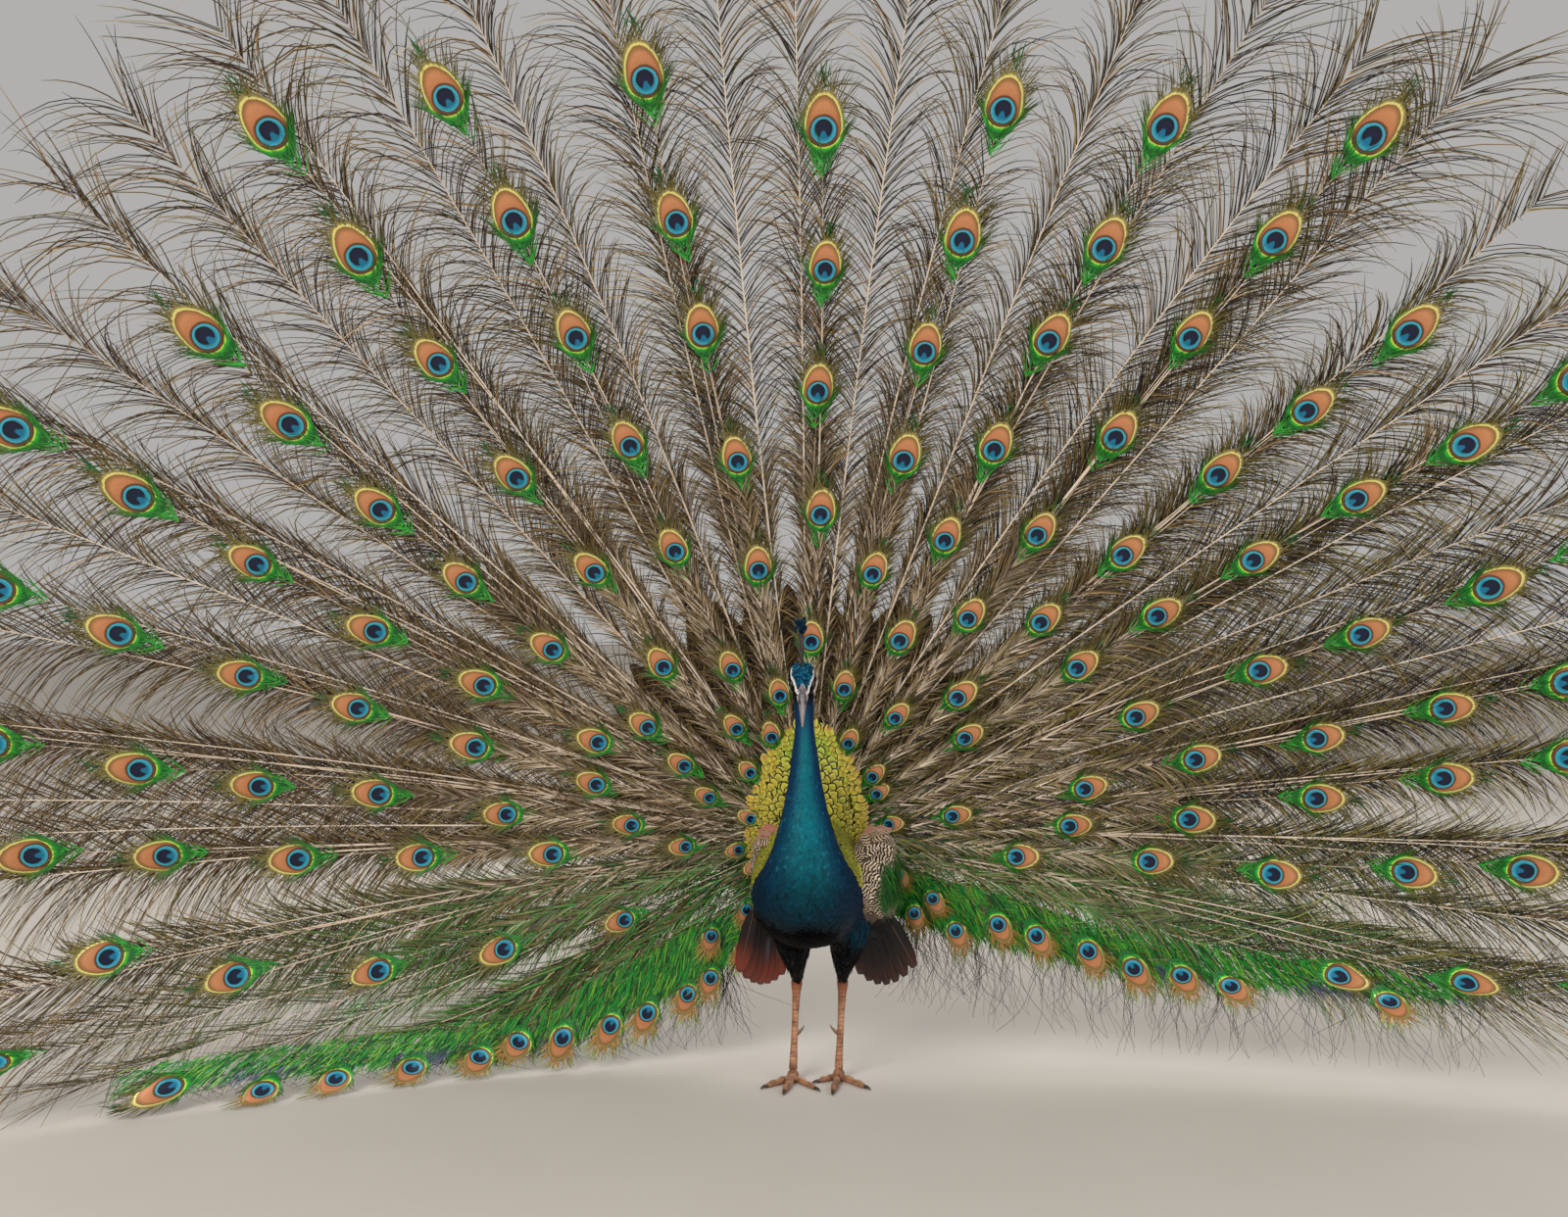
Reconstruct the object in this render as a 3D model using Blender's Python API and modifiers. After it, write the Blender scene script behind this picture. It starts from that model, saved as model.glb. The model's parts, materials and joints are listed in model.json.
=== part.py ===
"""Indian peafowl, adult male, displaying: a life-size still model.

Frame: +Z up, the bird faces -Y, floor at Z = 0, metres.
Every sub-part is its own closed solid; neighbours are parted by thin cuts.
"""
import bpy
import bmesh
import math
from mathutils import Vector, Matrix

# ---------------------------------------------------------------- driving sizes
ORIGIN = Vector((0.0, 0.130, 0.0))  # moves the feet so that the box is centred on the origin
CUT = 0.0004                       # width of a parting cut
BODY_YAW = math.radians(-3.0)      # trunk and neck turn a little to the bird's right

TARSUS_TOP = 0.143                 # height of the hock
FOOT_JOINT = 0.017                 # height of the toe joint
FOOT_X = (-0.036, 0.035)           # right foot, left foot
HOCK_X = (-0.030, 0.042)
HOCK_Y = 0.046
FOOT_Y = (0.013, 0.019)

HEAD_PITCH = math.radians(60.0)    # bill points this far below the horizontal
BILL_LENGTH = 0.043
SKULL = Vector((-0.023, -0.093, 0.6285))

FAN_CENTRE = Vector((-0.015, 0.150, 0.362))
FAN_LEAN = math.radians(11.0)      # the top comes forward
FAN_YAW = math.radians(2.5)
FAN_DISH = (0.045, 0.118)          # forward travel of a feather: a*r + b*r*r
FAN_FROM, FAN_TO = -110.0, 102.0   # degrees from upright, + to the bird's left
EYE_TIP, FORK_TIP = 1.40, 1.49     # lengths of eyed and fork-tipped feathers
TRAIN_SECTORS = 16
LOW_SPAN, LOW_STEP = 10.0, 0.40       # the train shortens over its lowest feathers
SKIRT_LONG = {"right": (0.22, 1.07), "left": (0.20, 1.05)}
SKIRT_BOW = {"right": 1.75, "left": 2.3}
FAN_WRAP = 0.35                      # the lower feathers come forward as well
BEND_FROM = 0.20
SKIRT_RIGHT, SKIRT_LEFT = 40.0, 30.0  # degrees that the green lower feathers fill past the train
TRAIN_THICK = 0.0009
FLOOR_CLEAR = 0.035
ROOT_R = 0.0435

TAIL_LENGTH = 0.42                 # stiff tail feathers behind the train
TAIL_HALF = 82.0                   # degrees each side
TAIL_SECTORS = 3

for o in list(bpy.data.objects):
    bpy.data.objects.remove(o, do_unlink=True)

scene = bpy.context.scene
peacock = bpy.data.collections.new("peacock")
cutters = bpy.data.collections.new("cutters")
scene.collection.children.link(peacock)
scene.collection.children.link(cutters)

# ---------------------------------------------------------------- materials
PALETTE = {
    "blue_plumage": ((0.010, 0.110, 0.165), 0.45, 0.2),
    "gold_scales": ((0.45, 0.42, 0.06), 0.4, 0.2),
    "train_bronze": ((0.16, 0.11, 0.06), 0.55, 0.1),
    "train_green": ((0.03, 0.22, 0.05), 0.5, 0.1),
    "tail_brown": ((0.12, 0.085, 0.06), 0.7, 0.0),
    "wing_barred": ((0.42, 0.34, 0.25), 0.7, 0.0),
    "wing_chestnut": ((0.20, 0.05, 0.02), 0.6, 0.0),
    "dark_down": ((0.02, 0.02, 0.022), 0.8, 0.0),
    "leg_scales": ((0.34, 0.20, 0.12), 0.55, 0.0),
    "claw_horn": ((0.10, 0.07, 0.05), 0.4, 0.0),
    "bill_horn": ((0.36, 0.33, 0.31), 0.4, 0.0),
    "eye_gloss": ((0.03, 0.015, 0.008), 0.1, 0.0),
}
MATERIALS = {}
for key, (rgb, rough, metal) in PALETTE.items():
    m = bpy.data.materials.new(key)
    m.use_nodes = True
    p = m.node_tree.nodes["Principled BSDF"]
    p.inputs["Base Color"].default_value = (*rgb, 1.0)
    p.inputs["Roughness"].default_value = rough
    p.inputs["Metallic"].default_value = metal
    MATERIALS[key] = m


# ---------------------------------------------------------------- helpers
def add_object(name, bm, material, cutter=False):
    bmesh.ops.recalc_face_normals(bm, faces=bm.faces)
    me = bpy.data.meshes.new(name)
    bm.to_mesh(me)
    bm.free()
    ob = bpy.data.objects.new(name, me)
    (cutters if cutter else peacock).objects.link(ob)
    if cutter:
        ob.hide_render = True
        ob.display_type = "WIRE"
    if material:
        me.materials.append(MATERIALS[material])
    me.shade_smooth()
    me.set_sharp_from_angle(angle=math.radians(40))
    return ob


def lofted(rings, tip_start=False, tip_end=False):
    """A closed loft through rings of equal count; an end closes flat, or to a point."""
    bm = bmesh.new()
    rows = [[bm.verts.new(p) for p in ring] for ring in rings]
    n = len(rows[0])
    for a, b in zip(rows, rows[1:]):
        for i in range(n):
            bm.faces.new((a[i], a[(i + 1) % n], b[(i + 1) % n], b[i]))
    for row, tip, along in ((rows[0], tip_start, -1), (rows[-1], tip_end, 1)):
        if tip:
            c = sum((v.co for v in row), Vector()) / n
            size = max((v.co - c).length for v in row)
            other = rows[1] if along < 0 else rows[-2]
            c2 = sum((v.co for v in other), Vector()) / n
            apex = bm.verts.new(c + (c - c2).normalized() * size * 0.35)
            for i in range(n):
                bm.faces.new((row[i], row[(i + 1) % n], apex))
        else:
            bm.faces.new(row)
    return bm


def section(centre, tangent, half_w, up, down, n, power=2.0, side=Vector((1, 0, 0))):
    """An egg section across the tangent: half_w to the sides, up and down along the other axis."""
    t = tangent.normalized()
    x = (side - t * side.dot(t)).normalized()
    z = x.cross(t).normalized()
    out = []
    for i in range(n):
        a = 2 * math.pi * (i + 0.5) / n
        c, s = math.cos(a), math.sin(a)
        cx = math.copysign(abs(c) ** (2 / power), c)
        sz = math.copysign(abs(s) ** (2 / power), s)
        out.append(centre + x * cx * half_w + z * sz * (up if s > 0 else down))
    return out


def smooth(keys, t):
    """Catmull-Rom through rows of numbers; t runs from 0 to len(keys) - 1."""
    i = max(0, min(len(keys) - 2, int(math.floor(t))))
    u = t - i
    k = [keys[max(0, min(len(keys) - 1, j))] for j in (i - 1, i, i + 1, i + 2)]
    out = []
    for a, b, c, d in zip(*k):
        out.append(
            0.5 * (2 * b + (c - a) * u + (2 * a - 5 * b + 4 * c - d) * u * u + (3 * b - a - 3 * c + d) * u ** 3)
        )
    return out


def turned(p, yaw=BODY_YAW):
    """The trunk's turn about the vertical through the feet."""
    return Matrix.Rotation(yaw, 3, "Z") @ p


def applied(ob):
    """The object's evaluated mesh, kept in place of its modifiers."""
    dg = bpy.context.evaluated_depsgraph_get()
    dg.update()
    me = bpy.data.meshes.new_from_object(ob.evaluated_get(dg))
    ob.modifiers.clear()
    ob.data = me
    return ob


def swollen(ob, by, name):
    """A cutter: the object's mesh, grown by a distance along its normals."""
    bm = bmesh.new()
    bm.from_mesh(ob.data)
    bm.normal_update()
    for v in bm.verts:
        v.co += v.normal * by
    return add_object(name, bm, None, cutter=True)


def cut_from(ob, *others):
    for k, other in enumerate(others):
        m = ob.modifiers.new(f"cut{k}", "BOOLEAN")
        m.operation = "DIFFERENCE"
        m.solver = "EXACT"
        m.object = other
    return applied(ob)


def fuse(ob, *others):
    for k, other in enumerate(others):
        m = ob.modifiers.new(f"join{k}", "BOOLEAN")
        m.operation = "UNION"
        m.solver = "EXACT"
        m.object = other
    return applied(ob)


def floor_flat(ob):
    """Cuts what is under the floor away, which leaves a flat at Z = 0."""
    bm = bmesh.new()
    bm.from_mesh(ob.data)
    geom = bm.verts[:] + bm.edges[:] + bm.faces[:]
    cut = bmesh.ops.bisect_plane(bm, geom=geom, plane_co=(0, 0, 0), plane_no=(0, 0, 1), clear_inner=True, dist=1e-6)
    edges = [e for e in cut["geom_cut"] if isinstance(e, bmesh.types.BMEdge)]
    if edges:
        bmesh.ops.holes_fill(bm, edges=edges, sides=0)
        bmesh.ops.triangulate(bm, faces=[f for f in bm.faces if len(f.verts) > 4])
    bmesh.ops.recalc_face_normals(bm, faces=bm.faces)
    bm.to_mesh(ob.data)
    bm.free()
    return ob


# ---------------------------------------------------------------- trunk and neck: one loft, parted by cuts
# centre y, centre z, half width, up, down, for the middle line from rump to head
SPINE = [
    (0.128, 0.352, 0.036, 0.040, 0.044),
    (0.105, 0.345, 0.056, 0.058, 0.062),
    (0.062, 0.330, 0.076, 0.078, 0.084),
    (0.012, 0.318, 0.086, 0.086, 0.096),
    (-0.040, 0.315, 0.088, 0.084, 0.096),
    (-0.083, 0.326, 0.083, 0.076, 0.084),
    (-0.110, 0.350, 0.069, 0.062, 0.064),
    (-0.117, 0.388, 0.050, 0.046, 0.047),
    (-0.108, 0.430, 0.0370, 0.036, 0.036),
    (-0.092, 0.472, 0.0280, 0.029, 0.029),
    (-0.076, 0.516, 0.0215, 0.0235, 0.0235),
    (-0.065, 0.556, 0.0160, 0.019, 0.019),
    (-0.066, 0.592, 0.0162, 0.0175, 0.0175),
    (-0.080, 0.626, 0.0168, 0.0165, 0.0165),
]
SPINE_X = -0.011


# the middle line drifts to the bird's right as it rises, to where the head is
def spine_point(t):
    y, z, w, up, dn = smooth(SPINE, t)
    return turned(Vector((SPINE_X, y, z))) + Vector((-0.006 * max(0.0, t - 6) / 6, 0, 0))


def spine_ring(t, n, shift=0.0, keep=1.0):
    y, z, w, up, dn = smooth(SPINE, t)
    e = 0.02
    a, b = spine_point(max(0, t - e)), spine_point(min(len(SPINE) - 1, t + e))
    tangent = (b - a).normalized()
    side = turned(Vector((-1, 0, 0)))
    return section(spine_point(t) + tangent * shift, tangent, w * keep, up * keep, dn * keep, n, 2.15, side)


def spine_part(name, t0, t1, steps, material, n=22, open_start=False, open_end=False):
    rings = []
    for i in range(steps + 1):
        t = t0 + (t1 - t0) * i / steps
        shift = CUT / 2 if i == 0 else (-CUT / 2 if i == steps else 0)
        rings.append(spine_ring(t, n, shift))
    return add_object(name, lofted(rings, tip_start=open_start, tip_end=open_end), material)


trunk = spine_part("trunk", 0.0, 6.2, 10, "blue_plumage", 18)
neck_lower = spine_part("neck_lower", 6.2, 9.0, 5, "blue_plumage", 18)
neck_upper = spine_part("neck_upper", 9.0, 12.9, 7, "blue_plumage", 16)
trunk_grown = swollen(trunk, 0.0008, "cutter_trunk")
neck_low_grown = swollen(neck_lower, 0.0005, "cutter_neck_low")

# ---------------------------------------------------------------- head, in its own axes: d along the bill, u to the crown
D = Vector((0, -math.cos(HEAD_PITCH), -math.sin(HEAD_PITCH)))
U = Vector((0, -math.sin(HEAD_PITCH), math.cos(HEAD_PITCH)))
X = Vector((1, 0, 0))


def head_at(along, up=0.0, side=0.0):
    return SKULL + D * along + U * up + X * side


# along, centre up, half width, up, down
SKULL_SECTIONS = [
    (-0.0285, -0.0010, 0.0085, 0.0080, 0.0080),
    (-0.0235, 0.0000, 0.0150, 0.0140, 0.0150),
    (-0.0140, 0.0010, 0.0195, 0.0185, 0.0190),
    (-0.0020, 0.0010, 0.0208, 0.0195, 0.0195),
    (0.0090, -0.0005, 0.0195, 0.0168, 0.0165),
    (0.0180, -0.0020, 0.0155, 0.0130, 0.0120),
    (0.0255, -0.0035, 0.0105, 0.0090, 0.0082),
]
rings = [section(head_at(a, c), D, w, up, dn, 16, 2.1, -X) for a, c, w, up, dn in SKULL_SECTIONS]
head = add_object("head", lofted(rings, tip_start=True), "blue_plumage")
EYE_R = 0.0068
eye_centres = {}
for side, tag in ((-1, "right"), (1, "left")):
    bm = bmesh.new()
    eye_centres[tag] = head_at(0.0065, 0.0028, side * 0.0160)
    bmesh.ops.create_uvsphere(bm, u_segments=12, v_segments=7, radius=EYE_R, matrix=Matrix.Translation(eye_centres[tag]))
    eye = add_object(f"eye_{tag}", bm, "eye_gloss")
    socket = swollen(eye, 0.0004, f"cutter_socket_{tag}")
    cut_from(head, socket)

# bill: the upper half hooks a little over the lower
UPPER = [
    (0.0259, -0.0026, 0.0086, 0.0078, 0.0030),
    (0.0340, -0.0026, 0.0068, 0.0070, 0.0028),
    (0.0430, -0.0040, 0.0052, 0.0058, 0.0026),
    (0.0530, -0.0068, 0.0036, 0.0042, 0.0024),
    (0.0610, -0.0102, 0.0022, 0.0026, 0.0020),
    (0.0685, -0.0150, 0.0009, 0.0011, 0.0010),
]
LOWER = [
    (0.0259, -0.0096, 0.0078, 0.0036, 0.0042),
    (0.0340, -0.0094, 0.0060, 0.0034, 0.0038),
    (0.0430, -0.0102, 0.0045, 0.0030, 0.0032),
    (0.0520, -0.0126, 0.0030, 0.0024, 0.0024),
    (0.0600, -0.0158, 0.0013, 0.0012, 0.0012),
]
rings = [section(head_at(a, c), D, w, up, dn, 12, 2.0, -X) for a, c, w, up, dn in UPPER]
bill_upper = add_object("bill_upper", lofted(rings, tip_end=True), "bill_horn")
upper_grown = swollen(bill_upper, 0.0004, "cutter_bill")
rings = [section(head_at(a, c), D, w, up, dn, 12, 2.0, -X) for a, c, w, up, dn in LOWER]
bill_lower = add_object("bill_lower", lofted(rings, tip_end=True), "bill_horn")
cut_from(bill_lower, upper_grown)
head_grown = swollen(head, 0.0004, "cutter_head")
cut_from(neck_upper, head_grown)

# crest: upright quills in a fan along the head, seen edge-on from the front
CREST_LENGTH, CREST_COUNT = 0.076, 9
bm = bmesh.new()
front, back = [], []
crest_root = head_at(-0.012, 0.0145)
for k in range(CREST_COUNT * 2 + 1):
    a = math.radians(-34 + 84 * k / (CREST_COUNT * 2))   # 0 is straight up, + leans back
    length = CREST_LENGTH * (1.0 if k % 2 else 0.86) * (1 - 0.12 * abs(a))
    front.append(Vector((-0.0006, math.sin(a) * length, math.cos(a) * length)))
rim = [Vector((0, -0.0035, 0.0)), Vector((0, 0.0050, -0.001))]
lower = [bm.verts.new(crest_root + p) for p in rim]
upper = [bm.verts.new(crest_root + p) for p in front]
mid = [bm.verts.new(crest_root + Vector((0, -0.0035 + 0.0085 * k / (len(front) - 1), -0.001)) + p * 0.55) for k, p in enumerate(front)]
for k in range(len(front) - 1):
    bm.faces.new((mid[k], mid[k + 1], upper[k + 1], upper[k]))
bm.faces.new([lower[0], lower[1]] + list(reversed(mid)))
crest = add_object("crest", bm, "blue_plumage")
s = crest.modifiers.new("thick", "SOLIDIFY")
s.thickness = 0.0016
s.offset = 0
applied(crest)
cut_from(crest, head_grown)

# ---------------------------------------------------------------- legs
def tube_rings(points, radii, n, flat=1.0):
    rings = []
    for i, (p, r) in enumerate(zip(points, radii)):
        a, b = points[max(0, i - 1)], points[min(len(points) - 1, i + 1)]
        rings.append(section(p, b - a, r, r * flat, r * flat, n, 2.0, Vector((1, 0.02, 0.03))))
    return rings


# toe: name, heading from straight ahead (degrees, + to the bird's left), bone length, root radius
TOES = {
    "right": (("outer", -48, 0.052, 0.0062), ("middle", -12, 0.060, 0.0068), ("inner", 36, 0.055, 0.0058), ("hind", 168, 0.020, 0.0048)),
    "left": (("outer", 40, 0.058, 0.0062), ("middle", -9, 0.066, 0.0068), ("inner", -60, 0.034, 0.0058), ("hind", 188, 0.020, 0.0048)),
}
for side, tag, fx, hx in ((0, "right", FOOT_X[0], HOCK_X[0]), (1, "left", FOOT_X[1], HOCK_X[1])):
    sgn = -1 if tag == "right" else 1
    hock = Vector((hx, HOCK_Y, TARSUS_TOP))
    fy = FOOT_Y[side]
    joint = Vector((fx, fy, FOOT_JOINT))
    # feathered thigh
    pts = [
        Vector((hx + sgn * 0.006, -0.030, 0.300)),
        Vector((hx + sgn * 0.006, -0.022, 0.262)),
        Vector((hx + sgn * 0.005, 0.002, 0.222)),
        Vector((hx + sgn * 0.002, 0.026, 0.186)),
        Vector((hx, 0.041, 0.160)),
        Vector((hx, HOCK_Y - 0.0010, TARSUS_TOP + 0.005)),
    ]
    thigh = add_object(f"thigh_{tag}", lofted(tube_rings(pts, [0.040, 0.038, 0.031, 0.020, 0.0125, 0.0100], 12, 1.25)), "dark_down")
    cut_from(thigh, trunk_grown)
    # scaled shank with its knuckles
    down = (joint - hock).normalized()
    shank = [hock + Vector((0, 0, 0.0056)), hock, hock.lerp(joint, 0.12), hock.lerp(joint, 0.35), hock.lerp(joint, 0.7), hock.lerp(joint, 0.92), joint - down * 0.0005]
    tarsus = add_object(f"tarsus_{tag}", lofted(tube_rings(shank, [0.0088, 0.0094, 0.0070, 0.0056, 0.0056, 0.0068, 0.0072], 10, 1.15)), "leg_scales")
    cut_from(thigh, swollen(tarsus, 0.0004, f"cutter_hock_{tag}"))
    # spur, on the inner back of the shank
    root = hock.lerp(joint, 0.60)
    out = Vector((-sgn * 0.62, 0.78, 0.10)).normalized()
    sp = [root + out * 0.0063, root + out * 0.012 + Vector((0, 0, 0.0005)), root + out * 0.019 + Vector((0, 0, 0.0025)), root + out * 0.025 + Vector((0, 0, 0.006))]
    spur = add_object(f"spur_{tag}", lofted(tube_rings(sp, [0.0036, 0.0030, 0.0019, 0.0006], 8)), "claw_horn")
    cut_from(spur, swollen(tarsus, 0.0004, f"cutter_tarsus_{tag}"))
    # foot: toes and their pads fused, with flats on the floor
    ball = bmesh.new()
    bmesh.ops.create_uvsphere(ball, u_segments=10, v_segments=7, radius=0.0100, matrix=Matrix.Translation(joint + Vector((0, -0.001, -0.0088))) @ Matrix.Diagonal((1, 1.1, 0.98, 1)))
    foot = add_object(f"foot_{tag}", ball, "leg_scales")
    claws = []
    toe_objects = []
    for toe, heading, length, r in TOES[tag]:
        h = math.radians(heading)
        ahead = Vector((math.sin(h), -math.cos(h), 0))
        base = Vector((fx, fy, 0.0)) + ahead * 0.001
        steps = [0.0, 0.24, 0.42, 0.60, 0.80, 1.0]
        fat = [1.0, 0.84, 0.98, 0.78, 0.88, 0.62]
        pts = [base + ahead * length * s + Vector((0, 0, r * f - 0.0007)) for s, f in zip(steps, fat)]
        bm = lofted(tube_rings(pts, [r * f for f in fat], 8), tip_end=False)
        toe_objects.append(add_object(f"toe_{toe}_{tag}", bm, "leg_scales", cutter=True))
        tip = pts[-1]
        claw_length = 0.014 if toe != "hind" else 0.011
        cp = [tip + ahead * 0.0007, tip + ahead * claw_length * 0.4 + Vector((0, 0, 0.0008)), tip + ahead * claw_length * 0.75 + Vector((0, 0, -0.0002)), tip + ahead * claw_length + Vector((0, 0, -0.0016))]
        claws.append((toe, cp, r * 0.52))
    fuse(foot, *toe_objects)
    floor_flat(foot)
    cut_from(foot, swollen(tarsus, 0.0004, f"cutter_tarsus2_{tag}"))
    foot_grown = swollen(foot, 0.0004, f"cutter_foot_{tag}")
    for toe, cp, r in claws:
        rings = tube_rings(cp, [r, r * 0.85, r * 0.55, r * 0.2], 6)
        for ring in rings:
            for p in ring:
                p.z = max(p.z, 0.0004)
        cut_from(add_object(f"claw_{toe}_{tag}", lofted(rings), "claw_horn"), foot_grown)

# ---------------------------------------------------------------- the fan's surface
FAN_TURN = Matrix.Rotation(FAN_YAW, 3, "Z") @ Matrix.Rotation(FAN_LEAN, 3, "X")


def flat_fan(theta, r, behind=0.0, dish=FAN_DISH):
    """theta in degrees from upright, + to the bird's left; r from the root; behind is towards the tail."""
    t = math.radians(theta)
    forward = dish[0] * r + dish[1] * r * r
    p = FAN_CENTRE + FAN_TURN @ Vector((math.sin(t) * r, -forward + behind, math.cos(t) * r))
    p.y -= FAN_WRAP * r * r * max(0.0, -math.cos(t))
    return p


def lowest_angle(r):
    """The right side's lowest feather that is at least r long."""
    short, long = SKIRT_LONG["right"]
    if r >= long:
        return FAN_FROM
    return FAN_FROM - SKIRT_RIGHT * (1 - (max(0.0, r - short) / (long - short)) ** (1 / SKIRT_BOW["right"]))


def fan_point(theta, r, behind=0.0, dish=FAN_DISH):
    """The same, but feathers that would reach the floor bend and trail just over it."""
    p = flat_fan(theta, r, behind, dish)
    drop = FAN_CENTRE.z - p.z
    room = FAN_CENTRE.z - FLOOR_CLEAR
    if drop > BEND_FROM:
        deepest = FAN_CENTRE.z - flat_fan(lowest_angle(r), r).z
        if deepest > room:
            p.z = FAN_CENTRE.z - (BEND_FROM + (drop - BEND_FROM) * (room - BEND_FROM) / (deepest - BEND_FROM))
    return p


def reach(theta):
    """Outline of the train: lobes of eyed feathers between forked ones, shorter towards the lower edges."""
    span = (theta - FAN_FROM) / (FAN_TO - FAN_FROM)
    lobe = span * TRAIN_SECTORS * 2
    k, u = int(math.floor(lobe)) % 2, lobe - math.floor(lobe)
    s = 1 - abs(2 * u - 1)
    if k == 0:
        r = EYE_TIP - 0.060 * (1 - s) ** 1.5
    else:
        r = FORK_TIP - (0.035 if abs(u - 0.5) < 0.06 else 0.0) - 0.13 * (1 - min(1.0, s * 1.9)) ** 1.3
    low = min(theta - FAN_FROM, FAN_TO - theta)
    if low < LOW_SPAN:
        r -= LOW_STEP * ((LOW_SPAN - low) / LOW_SPAN) ** 1.6
    return r


def skirt_reach(theta):
    """Lower outline on each side, where ever shorter green feathers hang below the train."""
    side = "right" if theta < 0 else "left"
    q = (FAN_FROM - theta) / SKIRT_RIGHT if theta < 0 else (theta - FAN_TO) / SKIRT_LEFT
    short, long = SKIRT_LONG[side]
    return short + (long - short) * (1 - q) ** SKIRT_BOW[side]


def panel(name, t0, t1, cells, rows, r_in, reach_of, thick, behind, material, dish=FAN_DISH, gap=0.0012):
    bm = bmesh.new()
    bmesh.ops.create_grid(bm, x_segments=cells, y_segments=len(rows) - 1, size=0.5)
    for v in bm.verts:
        i = round((v.co.x + 0.5) * cells)
        s = rows[round((v.co.y + 0.5) * (len(rows) - 1))]
        theta = t0 + (t1 - t0) * i / cells
        r_out = reach_of(min(max(theta, t0 + 1e-4), t1 - 1e-4))
        r = r_in + (r_out - r_in) * s
        nudge = math.degrees(gap / 2 / r)
        th = theta + (nudge if i == 0 else (-nudge if i == cells else 0))
        v.co = fan_point(th, r, behind, dish)
    ob = add_object(name, bm, material)
    m = ob.modifiers.new("thick", "SOLIDIFY")
    m.thickness = thick
    m.offset = 0
    m.use_even_offset = True
    return applied(ob)


ROWS = (0.0, 0.30, 0.60, 0.85, 1.0)
step = (FAN_TO - FAN_FROM) / TRAIN_SECTORS
for k in range(TRAIN_SECTORS):
    t0 = FAN_FROM + k * step
    low = k in (0, TRAIN_SECTORS - 1)
    panel(f"train_{k + 1:02d}", t0, t0 + step, 8, ROWS, ROOT_R + 0.0030, reach, TRAIN_THICK, 0.0,
          "train_green" if low else "train_bronze", gap=0.0030 if k == 0 else 0.0012)
SKIRT_ROWS = (0.0, 0.5, 1.0)
panel("train_skirt_right", FAN_FROM - SKIRT_RIGHT, FAN_FROM, 8, SKIRT_ROWS, ROOT_R + 0.0030, skirt_reach, TRAIN_THICK, 0.0, "train_green", gap=0.0030)
panel("train_skirt_left", FAN_TO, FAN_TO + SKIRT_LEFT, 8, SKIRT_ROWS, ROOT_R + 0.0030, skirt_reach, TRAIN_THICK, 0.0, "train_green")


# ---------------------------------------------------------------- stiff tail behind the train, and its root
def tail_reach(theta):
    u = (theta + TAIL_HALF) / (2 * TAIL_HALF) * 20
    f = u - math.floor(u)
    return TAIL_LENGTH * (1 - 0.10 * (abs(theta) / TAIL_HALF) ** 2) - 0.022 * abs(2 * f - 1) ** 2


TAIL_BEHIND = 0.018
tstep = 2 * TAIL_HALF / TAIL_SECTORS
for k in range(TAIL_SECTORS):
    t0 = -TAIL_HALF + k * tstep
    panel(f"tail_{k + 1}", t0, t0 + tstep, 8, (0.0, 0.6, 1.0), ROOT_R + 0.0030, tail_reach, 0.0016, TAIL_BEHIND,
          "tail_brown", dish=(0.02, 0.02))

# the root that train and tail grow from: a short round stub along the fan's axis
rings = []
start = spine_point(0.0)
for y, r in ((-0.0145, 0.036), (0.000, 0.0425), (0.020, 0.0425), (0.034, 0.036), (0.045, 0.022)):
    c = FAN_CENTRE + FAN_TURN @ Vector((0, y, 0))
    rings.append(section(c, FAN_TURN @ Vector((0, 1, 0)), r, r, r, 20, 2.0, Vector((-1, 0, 0))))
root = add_object("tail_root", lofted(rings, tip_end=True), "tail_brown")
cut_from(root, trunk_grown)
root_grown = swollen(root, 0.0005, "cutter_root")

# soft under-tail plumage below the root
rings = []
for y, z, w, up, dn in (
    (0.060, 0.260, 0.030, 0.030, 0.022),
    (0.090, 0.270, 0.048, 0.050, 0.040),
    (0.125, 0.279, 0.049, 0.050, 0.052),
    (0.160, 0.283, 0.042, 0.042, 0.050),
    (0.186, 0.281, 0.028, 0.028, 0.036),
):
    rings.append(section(Vector((0, y, z)), Vector((0, 1, 0.05)), w, up, dn, 18, 2.0, Vector((-1, 0, 0))))
vent = add_object("vent", lofted(rings, tip_start=True, tip_end=True), "dark_down")

# scaled back: an egg-shaped shield that stands in front of the train's root
BACK_W, BACK_UP, BACK_DOWN, BACK_HIGH = 0.088, 0.188, 0.066, 0.046
cols = 16
layers = []


def back_ring(rho, lift):
    ring = []
    for j in range(cols):
        a = 2 * math.pi * j / cols
        up = BACK_UP if math.cos(a) > 0 else BACK_DOWN
        x = math.sin(a) * BACK_W * rho * (1 - 0.16 * math.cos(a))
        z = math.cos(a) * up * rho
        r = math.hypot(x, z)
        ring.append(FAN_CENTRE + FAN_TURN @ Vector((x, -0.0066 - lift - FAN_DISH[0] * r - FAN_DISH[1] * r * r, z)))
    return ring


for rho in (0.35, 0.70, 1.0):
    layers.append(back_ring(rho, 0.0))
for i in range(1, 6):
    q = i / 5 * 0.95
    layers.append(back_ring(math.cos(q * math.pi / 2), BACK_HIGH * math.sin(q * math.pi / 2)))
back = add_object("back", lofted(layers), "gold_scales")
cut_from(back, trunk_grown, root_grown)
cut_from(vent, trunk_grown, root_grown, swollen(back, 0.0005, "cutter_back0"))

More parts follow.
